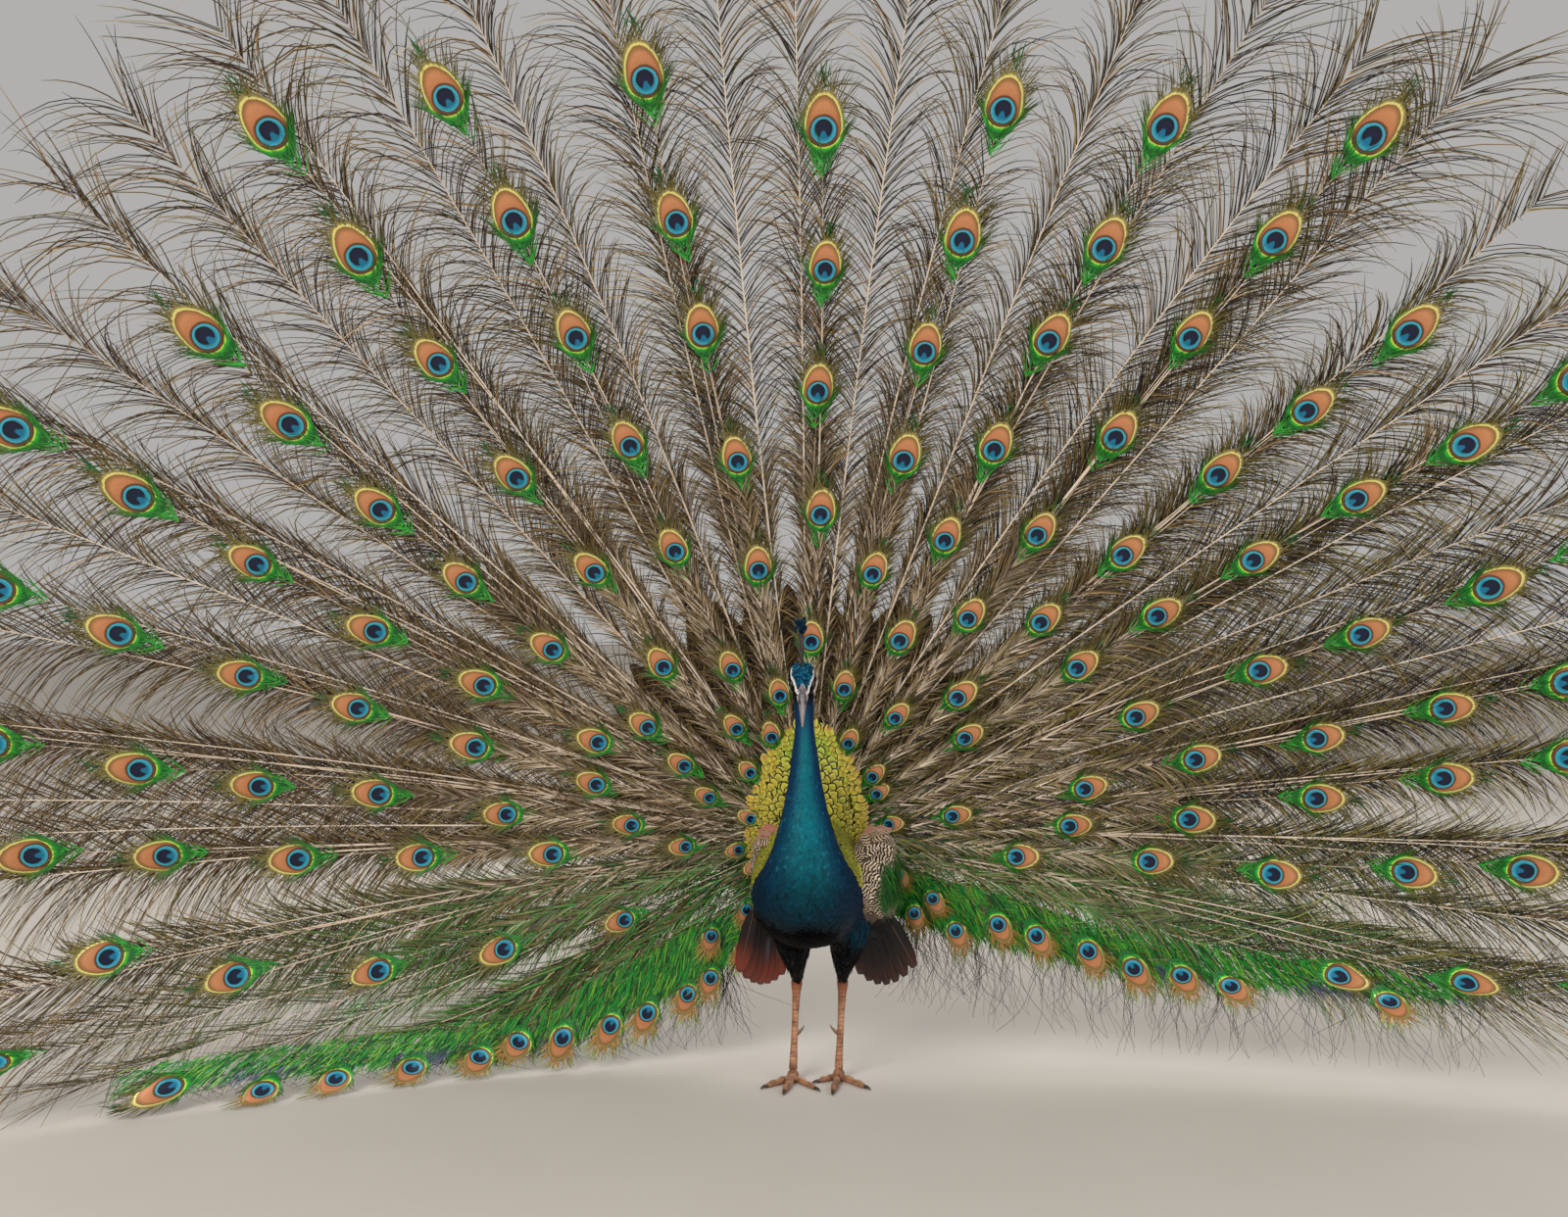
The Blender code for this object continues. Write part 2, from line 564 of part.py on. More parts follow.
# ---------------------------------------------------------------- wings: half-lowered, outside the flanks
# a wing: centre y, z, distance from the middle line, half thickness, half height, along the flank
WING = [
    (-0.080, 0.338, 0.068, 0.012, 0.022),
    (-0.052, 0.334, 0.078, 0.026, 0.054),
    (-0.008, 0.320, 0.084, 0.034, 0.080),
    (0.038, 0.305, 0.084, 0.036, 0.086),
    (0.080, 0.292, 0.080, 0.030, 0.074),
    (0.114, 0.284, 0.074, 0.018, 0.048),
]
# held off the flank by this much: the bird's left wing droops wider
WING_OUT = {"right": -0.0285, "left": 0.0175}
# tips of the lowered flight feathers, from the innermost to the outermost: x, y, z
TIPS = {
    "right": ((-0.052, 0.100, 0.140), (-0.088, 0.110, 0.122), (-0.122, 0.090, 0.150)),
    "left": ((0.072, 0.112, 0.138), (0.116, 0.116, 0.120), (0.160, 0.092, 0.158)),
}


def wing(tag, sgn):
    rings = []
    for y, z, x, thick, tall in WING:
        c = turned(Vector((SPINE_X + sgn * (x + WING_OUT[tag]), y, z)))
        rings.append(section(c, turned(Vector((0, 1, -0.25))), thick, tall, tall, 12, 2.2, turned(Vector((1, 0, 0)))))
    w = add_object(f"wing_{tag}", lofted(rings, tip_start=True, tip_end=True), "wing_barred")
    cut_from(w, trunk_grown, back_grown, vent_grown)
    # lowered primaries: one bowed sheet of overlapped feathers, stepped at its tips
    bm = bmesh.new()
    cols, rows = 10, 3
    bmesh.ops.create_grid(bm, x_segments=cols, y_segments=rows, size=0.5)
    inner, mid, outer = (Vector(t) for t in TIPS[tag])
    for v in bm.verts:
        i = round((v.co.x + 0.5) * cols)
        u, s = i / cols, v.co.y + 0.5
        tip = inner * (1 - u) * (1 - 2 * u) + mid * 4 * u * (1 - u) + outer * u * (2 * u - 1)
        tip.z += 0.010 * (i % 2)
        rooty = Vector((SPINE_X + sgn * (0.072 + 0.6 * WING_OUT[tag] + 0.030 * u), 0.060 - 0.030 * u, 0.252 - 0.004 * u))
        v.co = rooty.lerp(tip, s) + Vector((sgn * 0.006, 0.014, 0)) * math.sin(math.pi * s)
    p = add_object(f"primaries_{tag}", bm, "wing_chestnut")
    m = p.modifiers.new("thick", "SOLIDIFY")
    m.thickness = 0.0022
    m.offset = 0
    applied(p)
    cut_from(p, swollen(w, 0.0006, f"cutter_wing_{tag}"), trunk_grown, vent_grown)
    return w, p


back_grown = swollen(back, 0.0006, "cutter_back")
vent_grown = swollen(vent, 0.0006, "cutter_vent")
for tag, sgn in (("right", -1), ("left", 1)):
    w, p = wing(tag, sgn)
    thigh = bpy.data.objects[f"thigh_{tag}"]
    cut_from(thigh, swollen(w, 0.0006, f"cutter_w2_{tag}"), swollen(p, 0.0006, f"cutter_p2_{tag}"), vent_grown)

# ---------------------------------------------------------------- to the origin
for ob in peacock.objects:
    ob.data.transform(Matrix.Translation(ORIGIN))
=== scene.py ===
"""Looks of the displaying peacock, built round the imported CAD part.

World frame: the bird faces -Y, +X is its left, the floor is Z = 0, metres.
The fan of the train is drawn in flat coordinates (u across, v up, w towards the viewer)
and laid on the dished, leaning surface that the CAD train has.
"""
import json
import math

import bmesh
import bpy
import numpy as np
from mathutils import Matrix, Vector
from mathutils.bvhtree import BVHTree
from mathutils.kdtree import KDTree

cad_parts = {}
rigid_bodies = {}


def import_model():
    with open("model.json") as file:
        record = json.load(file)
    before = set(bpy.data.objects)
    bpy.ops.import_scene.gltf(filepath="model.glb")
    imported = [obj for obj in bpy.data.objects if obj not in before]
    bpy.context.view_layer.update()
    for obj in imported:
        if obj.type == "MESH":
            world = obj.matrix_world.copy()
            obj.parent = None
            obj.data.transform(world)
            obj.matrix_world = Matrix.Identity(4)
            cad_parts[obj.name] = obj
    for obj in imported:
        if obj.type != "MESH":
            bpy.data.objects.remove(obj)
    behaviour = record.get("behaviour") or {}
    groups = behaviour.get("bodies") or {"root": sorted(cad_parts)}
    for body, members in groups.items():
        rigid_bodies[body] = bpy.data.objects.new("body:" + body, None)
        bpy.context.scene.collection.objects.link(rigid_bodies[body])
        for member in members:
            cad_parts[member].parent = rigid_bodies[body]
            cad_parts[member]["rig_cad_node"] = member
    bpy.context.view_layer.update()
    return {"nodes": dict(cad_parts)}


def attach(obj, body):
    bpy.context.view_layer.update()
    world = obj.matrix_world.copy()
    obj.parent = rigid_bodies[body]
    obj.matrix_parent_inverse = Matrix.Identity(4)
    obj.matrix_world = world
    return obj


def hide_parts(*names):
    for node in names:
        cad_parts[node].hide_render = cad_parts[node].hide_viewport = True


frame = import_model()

for o in list(bpy.data.objects):
    if "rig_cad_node" not in o and not o.name.startswith("body:"):
        bpy.data.objects.remove(o, do_unlink=True)

RNG = np.random.default_rng(20)
ORIGIN = np.array([0.0, 0.130, 0.0])


# ================================================================ helpers
def lin(r, g, b):
    """sRGB 0-255 to linear."""
    c = np.array([r, g, b], float) / 255
    return np.where(c <= 0.04045, c / 12.92, ((c + 0.055) / 1.055) ** 2.4)


def mixc(a, b, t):
    t = np.clip(np.asarray(t, float), 0, 1)[..., None]
    return np.asarray(a) * (1 - t) + np.asarray(b) * t


def smoothstep(a, b, x):
    t = np.clip((np.asarray(x, float) - a) / (b - a), 0, 1)
    return t * t * (3 - 2 * t)


def unit(v):
    return v / np.maximum(np.linalg.norm(v, axis=-1, keepdims=True), 1e-12)


def build(name, co, faces, uv=None, col=None, extra_uv=None, material=None, smooth=True, ride=True):
    """A mesh object from arrays. faces is a list of (n,3) or (n,4) index arrays, uv and col are per vertex."""
    faces = [np.asarray(f, np.int64) for f in (faces if isinstance(faces, list) else [faces]) if len(f)]
    co = np.array(co, float)
    if name.startswith("train"):
        # the lowest barbs trail on the floor, and none reach out past the fan's front
        co[:, 2] = np.where(co[:, 2] < 0.014, 0.002 + 0.012 * np.exp(np.minimum(co[:, 2] - 0.014, 0) / 0.012), co[:, 2])
        co[:, 1] = np.maximum(co[:, 1], -0.352)
        co[:, 0] = np.clip(co[:, 0], -1.570, 1.568)
    me = bpy.data.meshes.new(name)
    me.vertices.add(len(co))
    me.vertices.foreach_set("co", np.asarray(co, np.float32).ravel())
    loops = np.concatenate([f.ravel() for f in faces])
    totals = np.concatenate([np.full(len(f), f.shape[1]) for f in faces])
    starts = np.concatenate([[0], np.cumsum(totals)[:-1]])
    me.loops.add(len(loops))
    me.loops.foreach_set("vertex_index", loops.astype(np.int32))
    me.polygons.add(len(totals))
    me.polygons.foreach_set("loop_start", starts.astype(np.int32))
    me.update(calc_edges=True)
    me.polygons.foreach_set("use_smooth", np.full(len(totals), smooth))
    if uv is not None:
        layer = me.uv_layers.new(name="OFBake")
        per_loop = uv[loops] if len(uv) == len(co) else uv
        layer.data.foreach_set("uv", np.asarray(per_loop, np.float32).ravel())
    for key, values in (extra_uv or {}).items():
        layer = me.uv_layers.new(name=key)
        layer.data.foreach_set("uv", np.asarray(values, np.float32)[loops].ravel())
    if col is not None:
        a = me.attributes.new("col", "FLOAT_COLOR", "POINT")
        rgba = np.ones((len(co), 4), np.float32)
        rgba[:, :3] = col
        a.data.foreach_set("color", rgba.ravel())
    if me.uv_layers:
        me.uv_layers.active_index = 0
        me.uv_layers[0].active_render = True
    ob = bpy.data.objects.new(name, me)
    bpy.context.scene.collection.objects.link(ob)
    if material is not None:
        me.materials.append(material)
    if ride:
        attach(ob, "root")
    return ob


def strips(left, right, root_uv, col, patch=0.003):
    """Ribbons from their two edges. left and right are (n,k,3), col is (n,k,3), root_uv is (n,2)."""
    n, k, _ = left.shape
    co = np.stack([left, right], 2).reshape(-1, 3)
    base = (np.arange(n) * k * 2)[:, None]
    j = np.arange(k - 1)[None] * 2
    quads = np.stack([base + j, base + j + 1, base + j + 3, base + j + 2], -1).reshape(-1, 4)
    local = np.zeros((k, 2, 2))
    local[:, 1, 0] = patch
    local[..., 1] = np.linspace(0, patch, k)[:, None]
    uv = (root_uv[:, None, None, :] + local[None]).reshape(-1, 2)
    colour = np.repeat(col[:, :, None, :], 2, 2).reshape(-1, 3)
    return co, quads, uv, colour


def tubes(centre, side, front, col, root_uv, sides=4, patch=0.003):
    """Closed-section rods: centre (n,k,3), side and front (n,k,3) half-axes, col (n,k,3)."""
    n, k, _ = centre.shape
    a = 2 * np.pi * np.arange(sides) / sides
    co = centre[:, :, None] + side[:, :, None] * np.cos(a)[None, None, :, None] + front[:, :, None] * np.sin(a)[None, None, :, None]
    co = co.reshape(-1, 3)
    base = (np.arange(n) * k * sides)[:, None, None]
    j = (np.arange(k - 1) * sides)[None, :, None]
    i = np.arange(sides)[None, None]
    i2 = (i + 1) % sides
    quads = np.stack([base + j + i, base + j + i2, base + j + sides + i2, base + j + sides + i], -1).reshape(-1, 4)
    local = np.zeros((k, sides, 2))
    local[..., 0] = np.linspace(0, patch, sides)[None]
    local[..., 1] = np.linspace(0, patch, k)[:, None]
    uv = (root_uv[:, None, None, :] + local[None]).reshape(-1, 2)
    colour = np.repeat(col[:, :, None, :], sides, 2).reshape(-1, 3)
    return co, quads, uv, colour


def merge(parts):
    co, faces, uv, col, at = [], [], [], [], 0
    for c, f, u, k in parts:
        co.append(c)
        faces.append(f + at)
        uv.append(u)
        col.append(k)
        at += len(c)
    return np.concatenate(co), faces, np.concatenate(uv), np.concatenate(col)


# ================================================================ materials
class Nodes:
    """Short forms for building a shader tree."""

    def __init__(self, name):
        self.material = bpy.data.materials.new(name)
        self.material.use_nodes = True
        self.tree = self.material.node_tree
        self.bsdf = self.tree.nodes["Principled BSDF"]

    def add(self, kind, **settings):
        node = self.tree.nodes.new(kind)
        for key, value in settings.items():
            setattr(node, key, value)
        return node

    def put(self, socket, value):
        if isinstance(value, bpy.types.NodeSocket):
            self.tree.links.new(value, socket)
        elif hasattr(socket.default_value, "__len__"):
            v = list(value)
            n = len(socket.default_value)
            socket.default_value = (v + [1.0])[:n] if len(v) < n else v[:n]
        else:
            socket.default_value = float(value)

    def math(self, op, *values, clamp=False):
        node = self.add("ShaderNodeMath", operation=op, use_clamp=clamp)
        for socket, value in zip(node.inputs, values):
            self.put(socket, value)
        return node.outputs[0]

    def mix(self, fac, a, b, blend="MIX"):
        node = self.add("ShaderNodeMix", data_type="RGBA", blend_type=blend)
        self.put(node.inputs[0], fac)
        self.put(node.inputs[6], a)
        self.put(node.inputs[7], b)
        return node.outputs[2]

    def ramp(self, fac, stops, mode="LINEAR"):
        node = self.add("ShaderNodeValToRGB")
        node.color_ramp.interpolation = mode
        el = node.color_ramp.elements
        while len(el) < len(stops):
            el.new(0.5)
        for e, (at, c) in zip(el, stops):
            e.position = at
            c = c if hasattr(c, "__len__") else (c, c, c)
            e.color = (*c, 1.0) if len(c) == 3 else c
        self.put(node.inputs[0], fac)
        return node.outputs[0]

    def noise(self, vector, scale, detail=3.0, rough=0.55, stretch=None):
        if stretch is not None:
            m = self.add("ShaderNodeMapping")
            self.put(m.inputs["Vector"], vector)
            m.inputs["Scale"].default_value = stretch
            vector = m.outputs[0]
        node = self.add("ShaderNodeTexNoise")
        self.put(node.inputs["Vector"], vector)
        node.inputs["Scale"].default_value = scale
        node.inputs["Detail"].default_value = detail
        node.inputs["Roughness"].default_value = rough
        return node.outputs[0]

    def step(self, edge0, edge1, x):
        """Smooth 0 to 1 as x goes from edge0 to edge1; edge0 may be the larger."""
        node = self.add("ShaderNodeMapRange", interpolation_type="SMOOTHSTEP")
        lo, hi, a, b = (edge0, edge1, 0.0, 1.0) if edge0 < edge1 else (edge1, edge0, 1.0, 0.0)
        self.put(node.inputs[0], x)
        for i, v in zip((1, 2, 3, 4), (lo, hi, a, b)):
            node.inputs[i].default_value = v
        return node.outputs[0]

    def attribute(self, name):
        return self.add("ShaderNodeAttribute", attribute_name=name).outputs["Color"]

    def position(self):
        return self.add("ShaderNodeTexCoord").outputs["Object"]

    def uv(self, name):
        return self.add("ShaderNodeUVMap", uv_map=name).outputs[0]

    def bump(self, height, strength, distance):
        node = self.add("ShaderNodeBump")
        node.inputs["Strength"].default_value = strength
        node.inputs["Distance"].default_value = distance
        self.put(node.inputs["Height"], height)
        self.tree.links.new(node.outputs[0], self.bsdf.inputs["Normal"])

    def done(self, colour, rough=0.5, metal=0.0, spec=0.5, sheen=0.0, coat=0.0, coat_rough=0.1):
        b = self.bsdf.inputs
        self.put(b["Base Color"], colour)
        self.put(b["Roughness"], rough)
        self.put(b["Metallic"], metal)
        b["Specular IOR Level"].default_value = spec
        b["Sheen Weight"].default_value = sheen
        b["Coat Weight"].default_value = coat
        b["Coat Roughness"].default_value = coat_rough
        return self.material


def plumage(name, rough=0.5, metal=0.0, spec=0.4, sheen=0.0, grain=420.0, vary=0.35, bump=0.25):
    """Plumage that takes its marking from the mesh's col attribute, broken up by fine grain."""
    n = Nodes(name)
    p = n.position()
    c = n.attribute("col")
    fine = n.noise(p, grain, 3.0, 0.6)
    wide = n.noise(p, 38.0, 2.0, 0.5)
    light = n.math("ADD", n.math("MULTIPLY", fine, vary), n.math("MULTIPLY", wide, vary * 0.8))
    light = n.math("ADD", light, 1.0 - vary * 0.9)
    colour = n.mix(1.0, c, n.ramp(n.math("MULTIPLY", light, 0.5), [(0.0, (0, 0, 0)), (1.0, (2, 2, 2))]), "MULTIPLY")
    if bump:
        n.bump(fine, bump, 0.0006)
    material = n.done(colour, rough, metal, spec, sheen)
    # black down is matt: its gloss goes with its colour
    gloss = n.step(0.0008, 0.0070, c)
    for socket, value in (("Specular IOR Level", spec), ("Metallic", metal)):
        if value:
            n.put(n.bsdf.inputs[socket], n.math("MULTIPLY_ADD", gloss, 0.85 * value, 0.15 * value))
    return material


# ================================================================ the fan's surface
FC = np.array([-0.015, 0.150, 0.362])
LEAN, YAW = math.radians(11.0), math.radians(2.5)
DISH = (0.045, 0.118)
FROM, TO = -110.0, 102.0
WRAP, BEND_FROM, CLEAR = 0.35, 0.20, 0.035


def rot_z(a):
    return np.array([[math.cos(a), -math.sin(a), 0], [math.sin(a), math.cos(a), 0], [0, 0, 1]])


def rot_x(a):
    return np.array([[1, 0, 0], [0, math.cos(a), -math.sin(a)], [0, math.sin(a), math.cos(a)]])


TURN = rot_z(YAW) @ rot_x(LEAN)


def flat_fan(theta, r, w=0.0, dish=DISH):
    t = np.radians(theta)
    p = np.stack([np.sin(t) * r, -(dish[0] * r + dish[1] * r * r) - w, np.cos(t) * r], -1) @ TURN.T + FC
    p[..., 1] -= WRAP * r * r * np.maximum(0, -np.cos(t))
    return p


def fan(theta, r, w=0.0, dish=DISH):
    """The train's surface: theta in degrees from upright, r from the hub, w in front of it."""
    theta, r, w = np.broadcast_arrays(np.asarray(theta, float), np.asarray(r, float), np.asarray(w, float))
    p = flat_fan(theta, r, w, dish)
    drop, room = FC[2] - p[..., 2], FC[2] - CLEAR
    q = np.clip((np.maximum(0, r - 0.22) / 0.85), 0, 1) ** (1 / 1.75)
    low = np.where(r >= 1.07, -110.0, -110.0 - 40.0 * (1 - q))
    deep = FC[2] - flat_fan(low, r, 0 * r, dish)[..., 2]
    m = (drop > BEND_FROM) & (deep > room)
    k = (room - BEND_FROM) / np.where(m, deep - BEND_FROM, 1.0)
    p[..., 2] = np.where(m, FC[2] - (BEND_FROM + (drop - BEND_FROM) * k), p[..., 2])
    return p + ORIGIN


def lay(u, v, w):
    return fan(np.degrees(np.arctan2(u, v)), np.hypot(u, v), w)


def fan_uv(u, v):
    th = np.degrees(np.arctan2(u, v))
    return np.stack([0.02 + 0.94 * (th + 155) / 310, 0.02 + 0.94 * np.hypot(u, v) / 1.65], -1)


def skirt_edge(q, side):
    """The lower edge of the fan: q 0 where the train ends, 1 beside the body. side -1 is the bird's right."""
    if side < 0:
        return FROM - 40.0 * q, 0.22 + 0.85 * (1 - q) ** 1.75
    return TO + 30.0 * q, 0.20 + 0.85 * (1 - q) ** 2.3


# The eyes stand in rows that fan out from the hub, each feather of a row a step longer than the one before.
# A row: angle from upright of its nearest and farthest eye, their distances from the hub, and how many.
EYE_ROWS = [
    (-111, -104, 1.01, 1.20, 2), (-112, -96, 0.31, 1.05, 5), (-97, -97, 1.24, 1.24, 1),
    (-92, -86, 0.20, 1.32, 7), (-83, -78, 0.28, 1.36, 7), (-72, -68, 0.35, 1.24, 6), (-63, -58, 0.17, 1.29, 7),
    (-56, -56, 0.24, 0.24, 1), (-52, -46, 0.32, 1.17, 6), (-38, -34, 0.16, 1.30, 7), (-30, -30, 0.23, 0.23, 1),
    (-22, -24, 0.32, 1.22, 6), (-18, -18, 0.18, 0.18, 1), (-10, -12, 0.25, 1.17, 6), (1, 0, 0.34, 1.09, 5),
    (12, 12, 0.26, 1.14, 6), (22, 23, 0.18, 1.18, 7), (33, 34, 0.25, 1.31, 7), (43, 45, 0.16, 1.16, 7),
    (54, 54, 0.13, 1.30, 8),
    (67, 65, 0.56, 1.24, 5), (79, 73, 0.24, 1.33, 7), (78, 78, 0.14, 0.14, 1), (86, 80, 0.41, 1.15, 5),
    (94, 88, 0.34, 1.28, 6), (102, 98, 0.84, 1.19, 3)]
# the short, half-eyed feathers of the lower edges
HALF_ROWS = [
    (-150, -124, 0.21, 0.54, 7), (-124, -116, 0.62, 0.91, 4), (-140, -135, 0.15, 0.22, 2),
    (124, 121, 0.21, 0.28, 2), (109, 115, 0.16, 0.23, 2), (113, 108, 0.33, 0.70, 6), (104, 104, 0.92, 0.92, 1)]


def laid_out(rows, seed, step=0.94):
    """(angle, distance) of each eye of the rows, a little uneven."""
    rng = np.random.default_rng(seed)
    out = []
    for a0, a1, r0, r1, n in rows:
        for u in np.linspace(0, 1, n):
            r = r0 + (r1 - r0) * u ** step
            out.append((a0 + (a1 - a0) * u + rng.normal(0, 0.5) * min(1.0, 0.5 / r), r + rng.normal(0, 0.006)))
    return np.array(out)


EYES = laid_out(EYE_ROWS, 41)
HALF = laid_out(HALF_ROWS, 42, 1.0)

# little eyes in the ring round the shield on the back
RING = np.array([(-67, 0.099), (-97, 0.111), (-117, 0.092), (98, 0.105)], float)


def eye_width(r):
    """Width of the yellow ring of an eye at that distance from the hub."""
    return np.interp(r, [0.08, 0.2, 0.35, 0.6, 0.9, 1.15, 1.4], [0.022, 0.029, 0.037, 0.042, 0.045, 0.050, 0.053])


def front_of(r):
    """Shorter feathers lie in front of longer ones."""
    return 0.004 + 0.020 * np.clip(1 - r / 1.45, 0, 1)


# ---------------------------------------------------------------- shafts of all the train's feathers, in flat coordinates
FISH_N = 34
fish_theta = np.linspace(-108, 100, FISH_N) + RNG.uniform(-1.2, 1.2, FISH_N)
fish_reach = np.interp(fish_theta, [-110, -100, -92, 84, 92, 102], [1.10, 1.32, 1.43, 1.43, 1.32, 1.10]) * RNG.uniform(0.965, 1.01, FISH_N)

f_theta = np.concatenate([EYES[:, 0], HALF[:, 0], fish_theta])
f_reach = np.concatenate([EYES[:, 1], HALF[:, 1], fish_reach])
f_kind = np.concatenate([np.zeros(len(EYES)), np.ones(len(HALF)), np.full(len(fish_theta), 2)]).astype(int)
f_eye = np.concatenate([eye_width(EYES[:, 1]), eye_width(HALF[:, 1]) * 0.92, np.zeros(len(fish_theta))])
NF = len(f_theta)
f_root_theta = f_theta * 0.93 + RNG.uniform(-5, 5, NF) * np.clip(1.2 - f_reach, 0.1, 1)
f_root_r = np.where(f_reach < 0.2, 0.03, 0.052)
f_w = front_of(f_reach) + RNG.uniform(-0.0012, 0.0012, NF)
f_bow = RNG.uniform(-0.012, 0.012, NF) * f_reach
rt, tt = np.radians(f_root_theta), np.radians(f_theta)
F_ROOT = np.stack([np.sin(rt) * f_root_r, np.cos(rt) * f_root_r], -1)
F_EYE = np.stack([np.sin(tt) * f_reach, np.cos(tt) * f_reach], -1)
F_LEN = np.linalg.norm(F_EYE - F_ROOT, axis=1)
F_DIR = (F_EYE - F_ROOT) / F_LEN[:, None]


def on_shaft(f, s):
    """Point and unit tangent of feather f (index array) at s, a share of the way to its eye."""
    a, d, n = F_ROOT[f], F_DIR[f], np.stack([-F_DIR[f][..., 1], F_DIR[f][..., 0]], -1)
    bow = (f_bow[f] * 4 * s * (1 - s))[..., None]
    p = a + d * (F_LEN[f] * s)[..., None] + n * bow
    t = d * F_LEN[f][..., None] + n * (f_bow[f] * 4 * (1 - 2 * s))[..., None]
    # a gravity sag for the outer part of a low feather is worked out here, but it is multiplied by nought, so the shaft
    # does not sag
    sag = 0.020 * (F_LEN[f] * s) ** 3 * np.abs(d[..., 0])
    p = p - np.stack([0 * sag, sag * 0], -1)
    return p, unit(t)


CREAM, CREAM_DARK = lin(244, 226, 204), lin(186, 156, 128)
k = 9
s = np.linspace(0, 1, k)[None].repeat(NF, 0)
end = np.where(f_kind == 2, 0.985, 1 - f_eye * 0.42 / np.maximum(F_LEN, 1e-6))[:, None]
f = np.arange(NF)[:, None].repeat(k, 1)
p, t = on_shaft(f, s * end)
n2 = np.stack([-t[..., 1], t[..., 0]], -1)
dist = F_LEN[:, None] * s * end
left = F_LEN[:, None] * end - dist
half = np.interp(left, [0, 0.05, 0.3, 0.7, 1.3], [0.0005, 0.0007, 0.0010, 0.0014, 0.0018])
half = half * np.interp(f_reach, [0.1, 0.5, 1.4], [0.6, 0.85, 1.0])[:, None]
w = f_w[:, None] + 0.0006 + np.interp(dist, [0.05, 0.2, 0.9, 1.4], [0.004, 0.012, 0.010, 0.004]) * np.interp(left, [0.0, 0.25], [0.0, 1.0])
w = np.minimum(w, np.maximum(front_of(np.hypot(p[..., 0], p[..., 1])) + 0.0012, f_w[:, None] + 0.0004))
c0 = lay(p[..., 0], p[..., 1], w)
c1 = lay(p[..., 0] + n2[..., 0] * half, p[..., 1] + n2[..., 1] * half, w)
c2 = lay(p[..., 0], p[..., 1], w + half * 0.9)
colour = mixc(CREAM, CREAM_DARK, RNG.uniform(0, 0.5, (NF, 1)).repeat(k, 1) + 0.5 * smoothstep(0.15, 0.0, left))
SHAFTS = tubes(c0, c1 - c0, c2 - c0, colour, fan_uv(p[:, 0, 0], p[:, 0, 1]), 4)


# ---------------------------------------------------------------- barbs of the train
def wave(i, x, size, seed):
    """Smooth noise along feather i, of about unit spread, with a wavelength of size metres."""
    table = np.random.default_rng(seed).normal(0, 1, (NF, 600))
    y = np.clip(x / size, 0, 597)
    a = np.floor(y).astype(int)
    t = y - a
    t = t * t * (3 - 2 * t)
    return table[i, a] * (1 - t) + table[i, a + 1] * t


def barb_rows():
    """For each barb: feather, distance along the shaft, side."""
    fs, ss, sides = [], [], []
    for i in range(NF):
        step = 0.0047 if f_kind[i] != 2 else 0.0050
        if f_theta[i] > 30:
            step *= 0.80
        if f_kind[i] != 2 and f_theta[i] < -15 and f_reach[i] > 0.95:
            step *= 1.15
        L = F_LEN[i] * (1 - (f_eye[i] * 0.62 / F_LEN[i] if f_kind[i] != 2 else 0.0))
        inner = 0.035 if f_reach[i] > 0.3 else 0.02
        for side in (-1, 1):
            at = np.arange(inner, L, step)
            at = np.sort(np.concatenate([at, at[(at > 0.10) & (at < 0.55)] + step / 2])) if f_reach[i] > 0.35 else at
            at = at + RNG.uniform(-0.8, 0.8, len(at)) * step
            # the hidden inner part of a long feather is thinner, and here and there a few barbs are missing
            gap = wave(np.full(len(at), i), at, 0.035, 70 + side) > 1.25
            keep = ((at > 0.30 * L) | (RNG.random(len(at)) < 0.62)) & ~(gap & (RNG.random(len(at)) < 0.8))
            at = np.clip(at[keep], 0.0, L)
            fs.append(np.full(len(at), i))
            ss.append(at)
            sides.append(np.full(len(at), side))
    return np.concatenate(fs), np.concatenate(ss), np.concatenate(sides)


bf, bat, bside = barb_rows()
bs = bat / F_LEN[bf]
NB = len(bf)
to_tip = F_LEN[bf] - bat
R = f_reach[bf]
fish = f_kind[bf] == 2
p0, tan = on_shaft(bf, bs)
theta_b = np.degrees(np.arctan2(p0[:, 0], p0[:, 1]))
r_b = np.hypot(p0[:, 0], p0[:, 1])
long_at_tip = np.interp(R, [0.1, 0.3, 0.6, 1.0, 1.3], [0.030, 0.050, 0.075, 0.108, 0.135])
length = long_at_tip * np.interp(to_tip, [0.0, 0.04, 0.12, 0.35, 0.8, 1.3], [0.62, 0.85, 1.08, 1.0, 0.72, 0.45])
length = np.where(fish, np.interp(to_tip, [0.0, 0.08, 0.3, 0.8, 1.4], [0.120, 0.165, 0.145, 0.095, 0.05]), length)
style = RNG.normal(0, 1, (NF, 6))
tuft = wave(bf, bat + 0.5 * bside, 0.020, 31) * 0.75 + wave(bf, bat + 0.25 * bside, 0.085, 32)
length *= np.exp(0.13 * wave(bf, bat, 0.05, 33) + 0.10 * style[bf, 0]) * RNG.uniform(0.72, 1.18, NB)
# barbs wound close round the shaft near the body, and downy
braid = smoothstep(0.70, 0.40, r_b) * (RNG.random(NB) < 0.78) * (R > 0.35)
a0 = np.radians(np.clip(25 + 5 * style[bf, 1] + 5 * wave(bf, bat, 0.06, 34) + RNG.normal(0, 4, NB), 8, 48))
a1 = np.radians(np.clip(52 + 6 * style[bf, 2] + bside * 5 * style[bf, 3] + 11 * tuft + RNG.normal(0, 7, NB), 12, 120))
near = smoothstep(0.085, 0.015, to_tip) * ~fish
a0 = a0 * (1 - 0.45 * near)
a1 = a1 * (1 - 0.62 * near)
tipward = smoothstep(0.12, 0.0, to_tip) * fish
a1 = a1 * (1 - 0.40 * tipward)
stray = RNG.random(NB) < 0.09
a1 = np.where(stray, a1 + np.radians(RNG.uniform(-60, 60, NB)), a1)
a0 = a0 * (1 - 0.50 * braid)
a1 = a1 * (1 - 0.62 * braid)
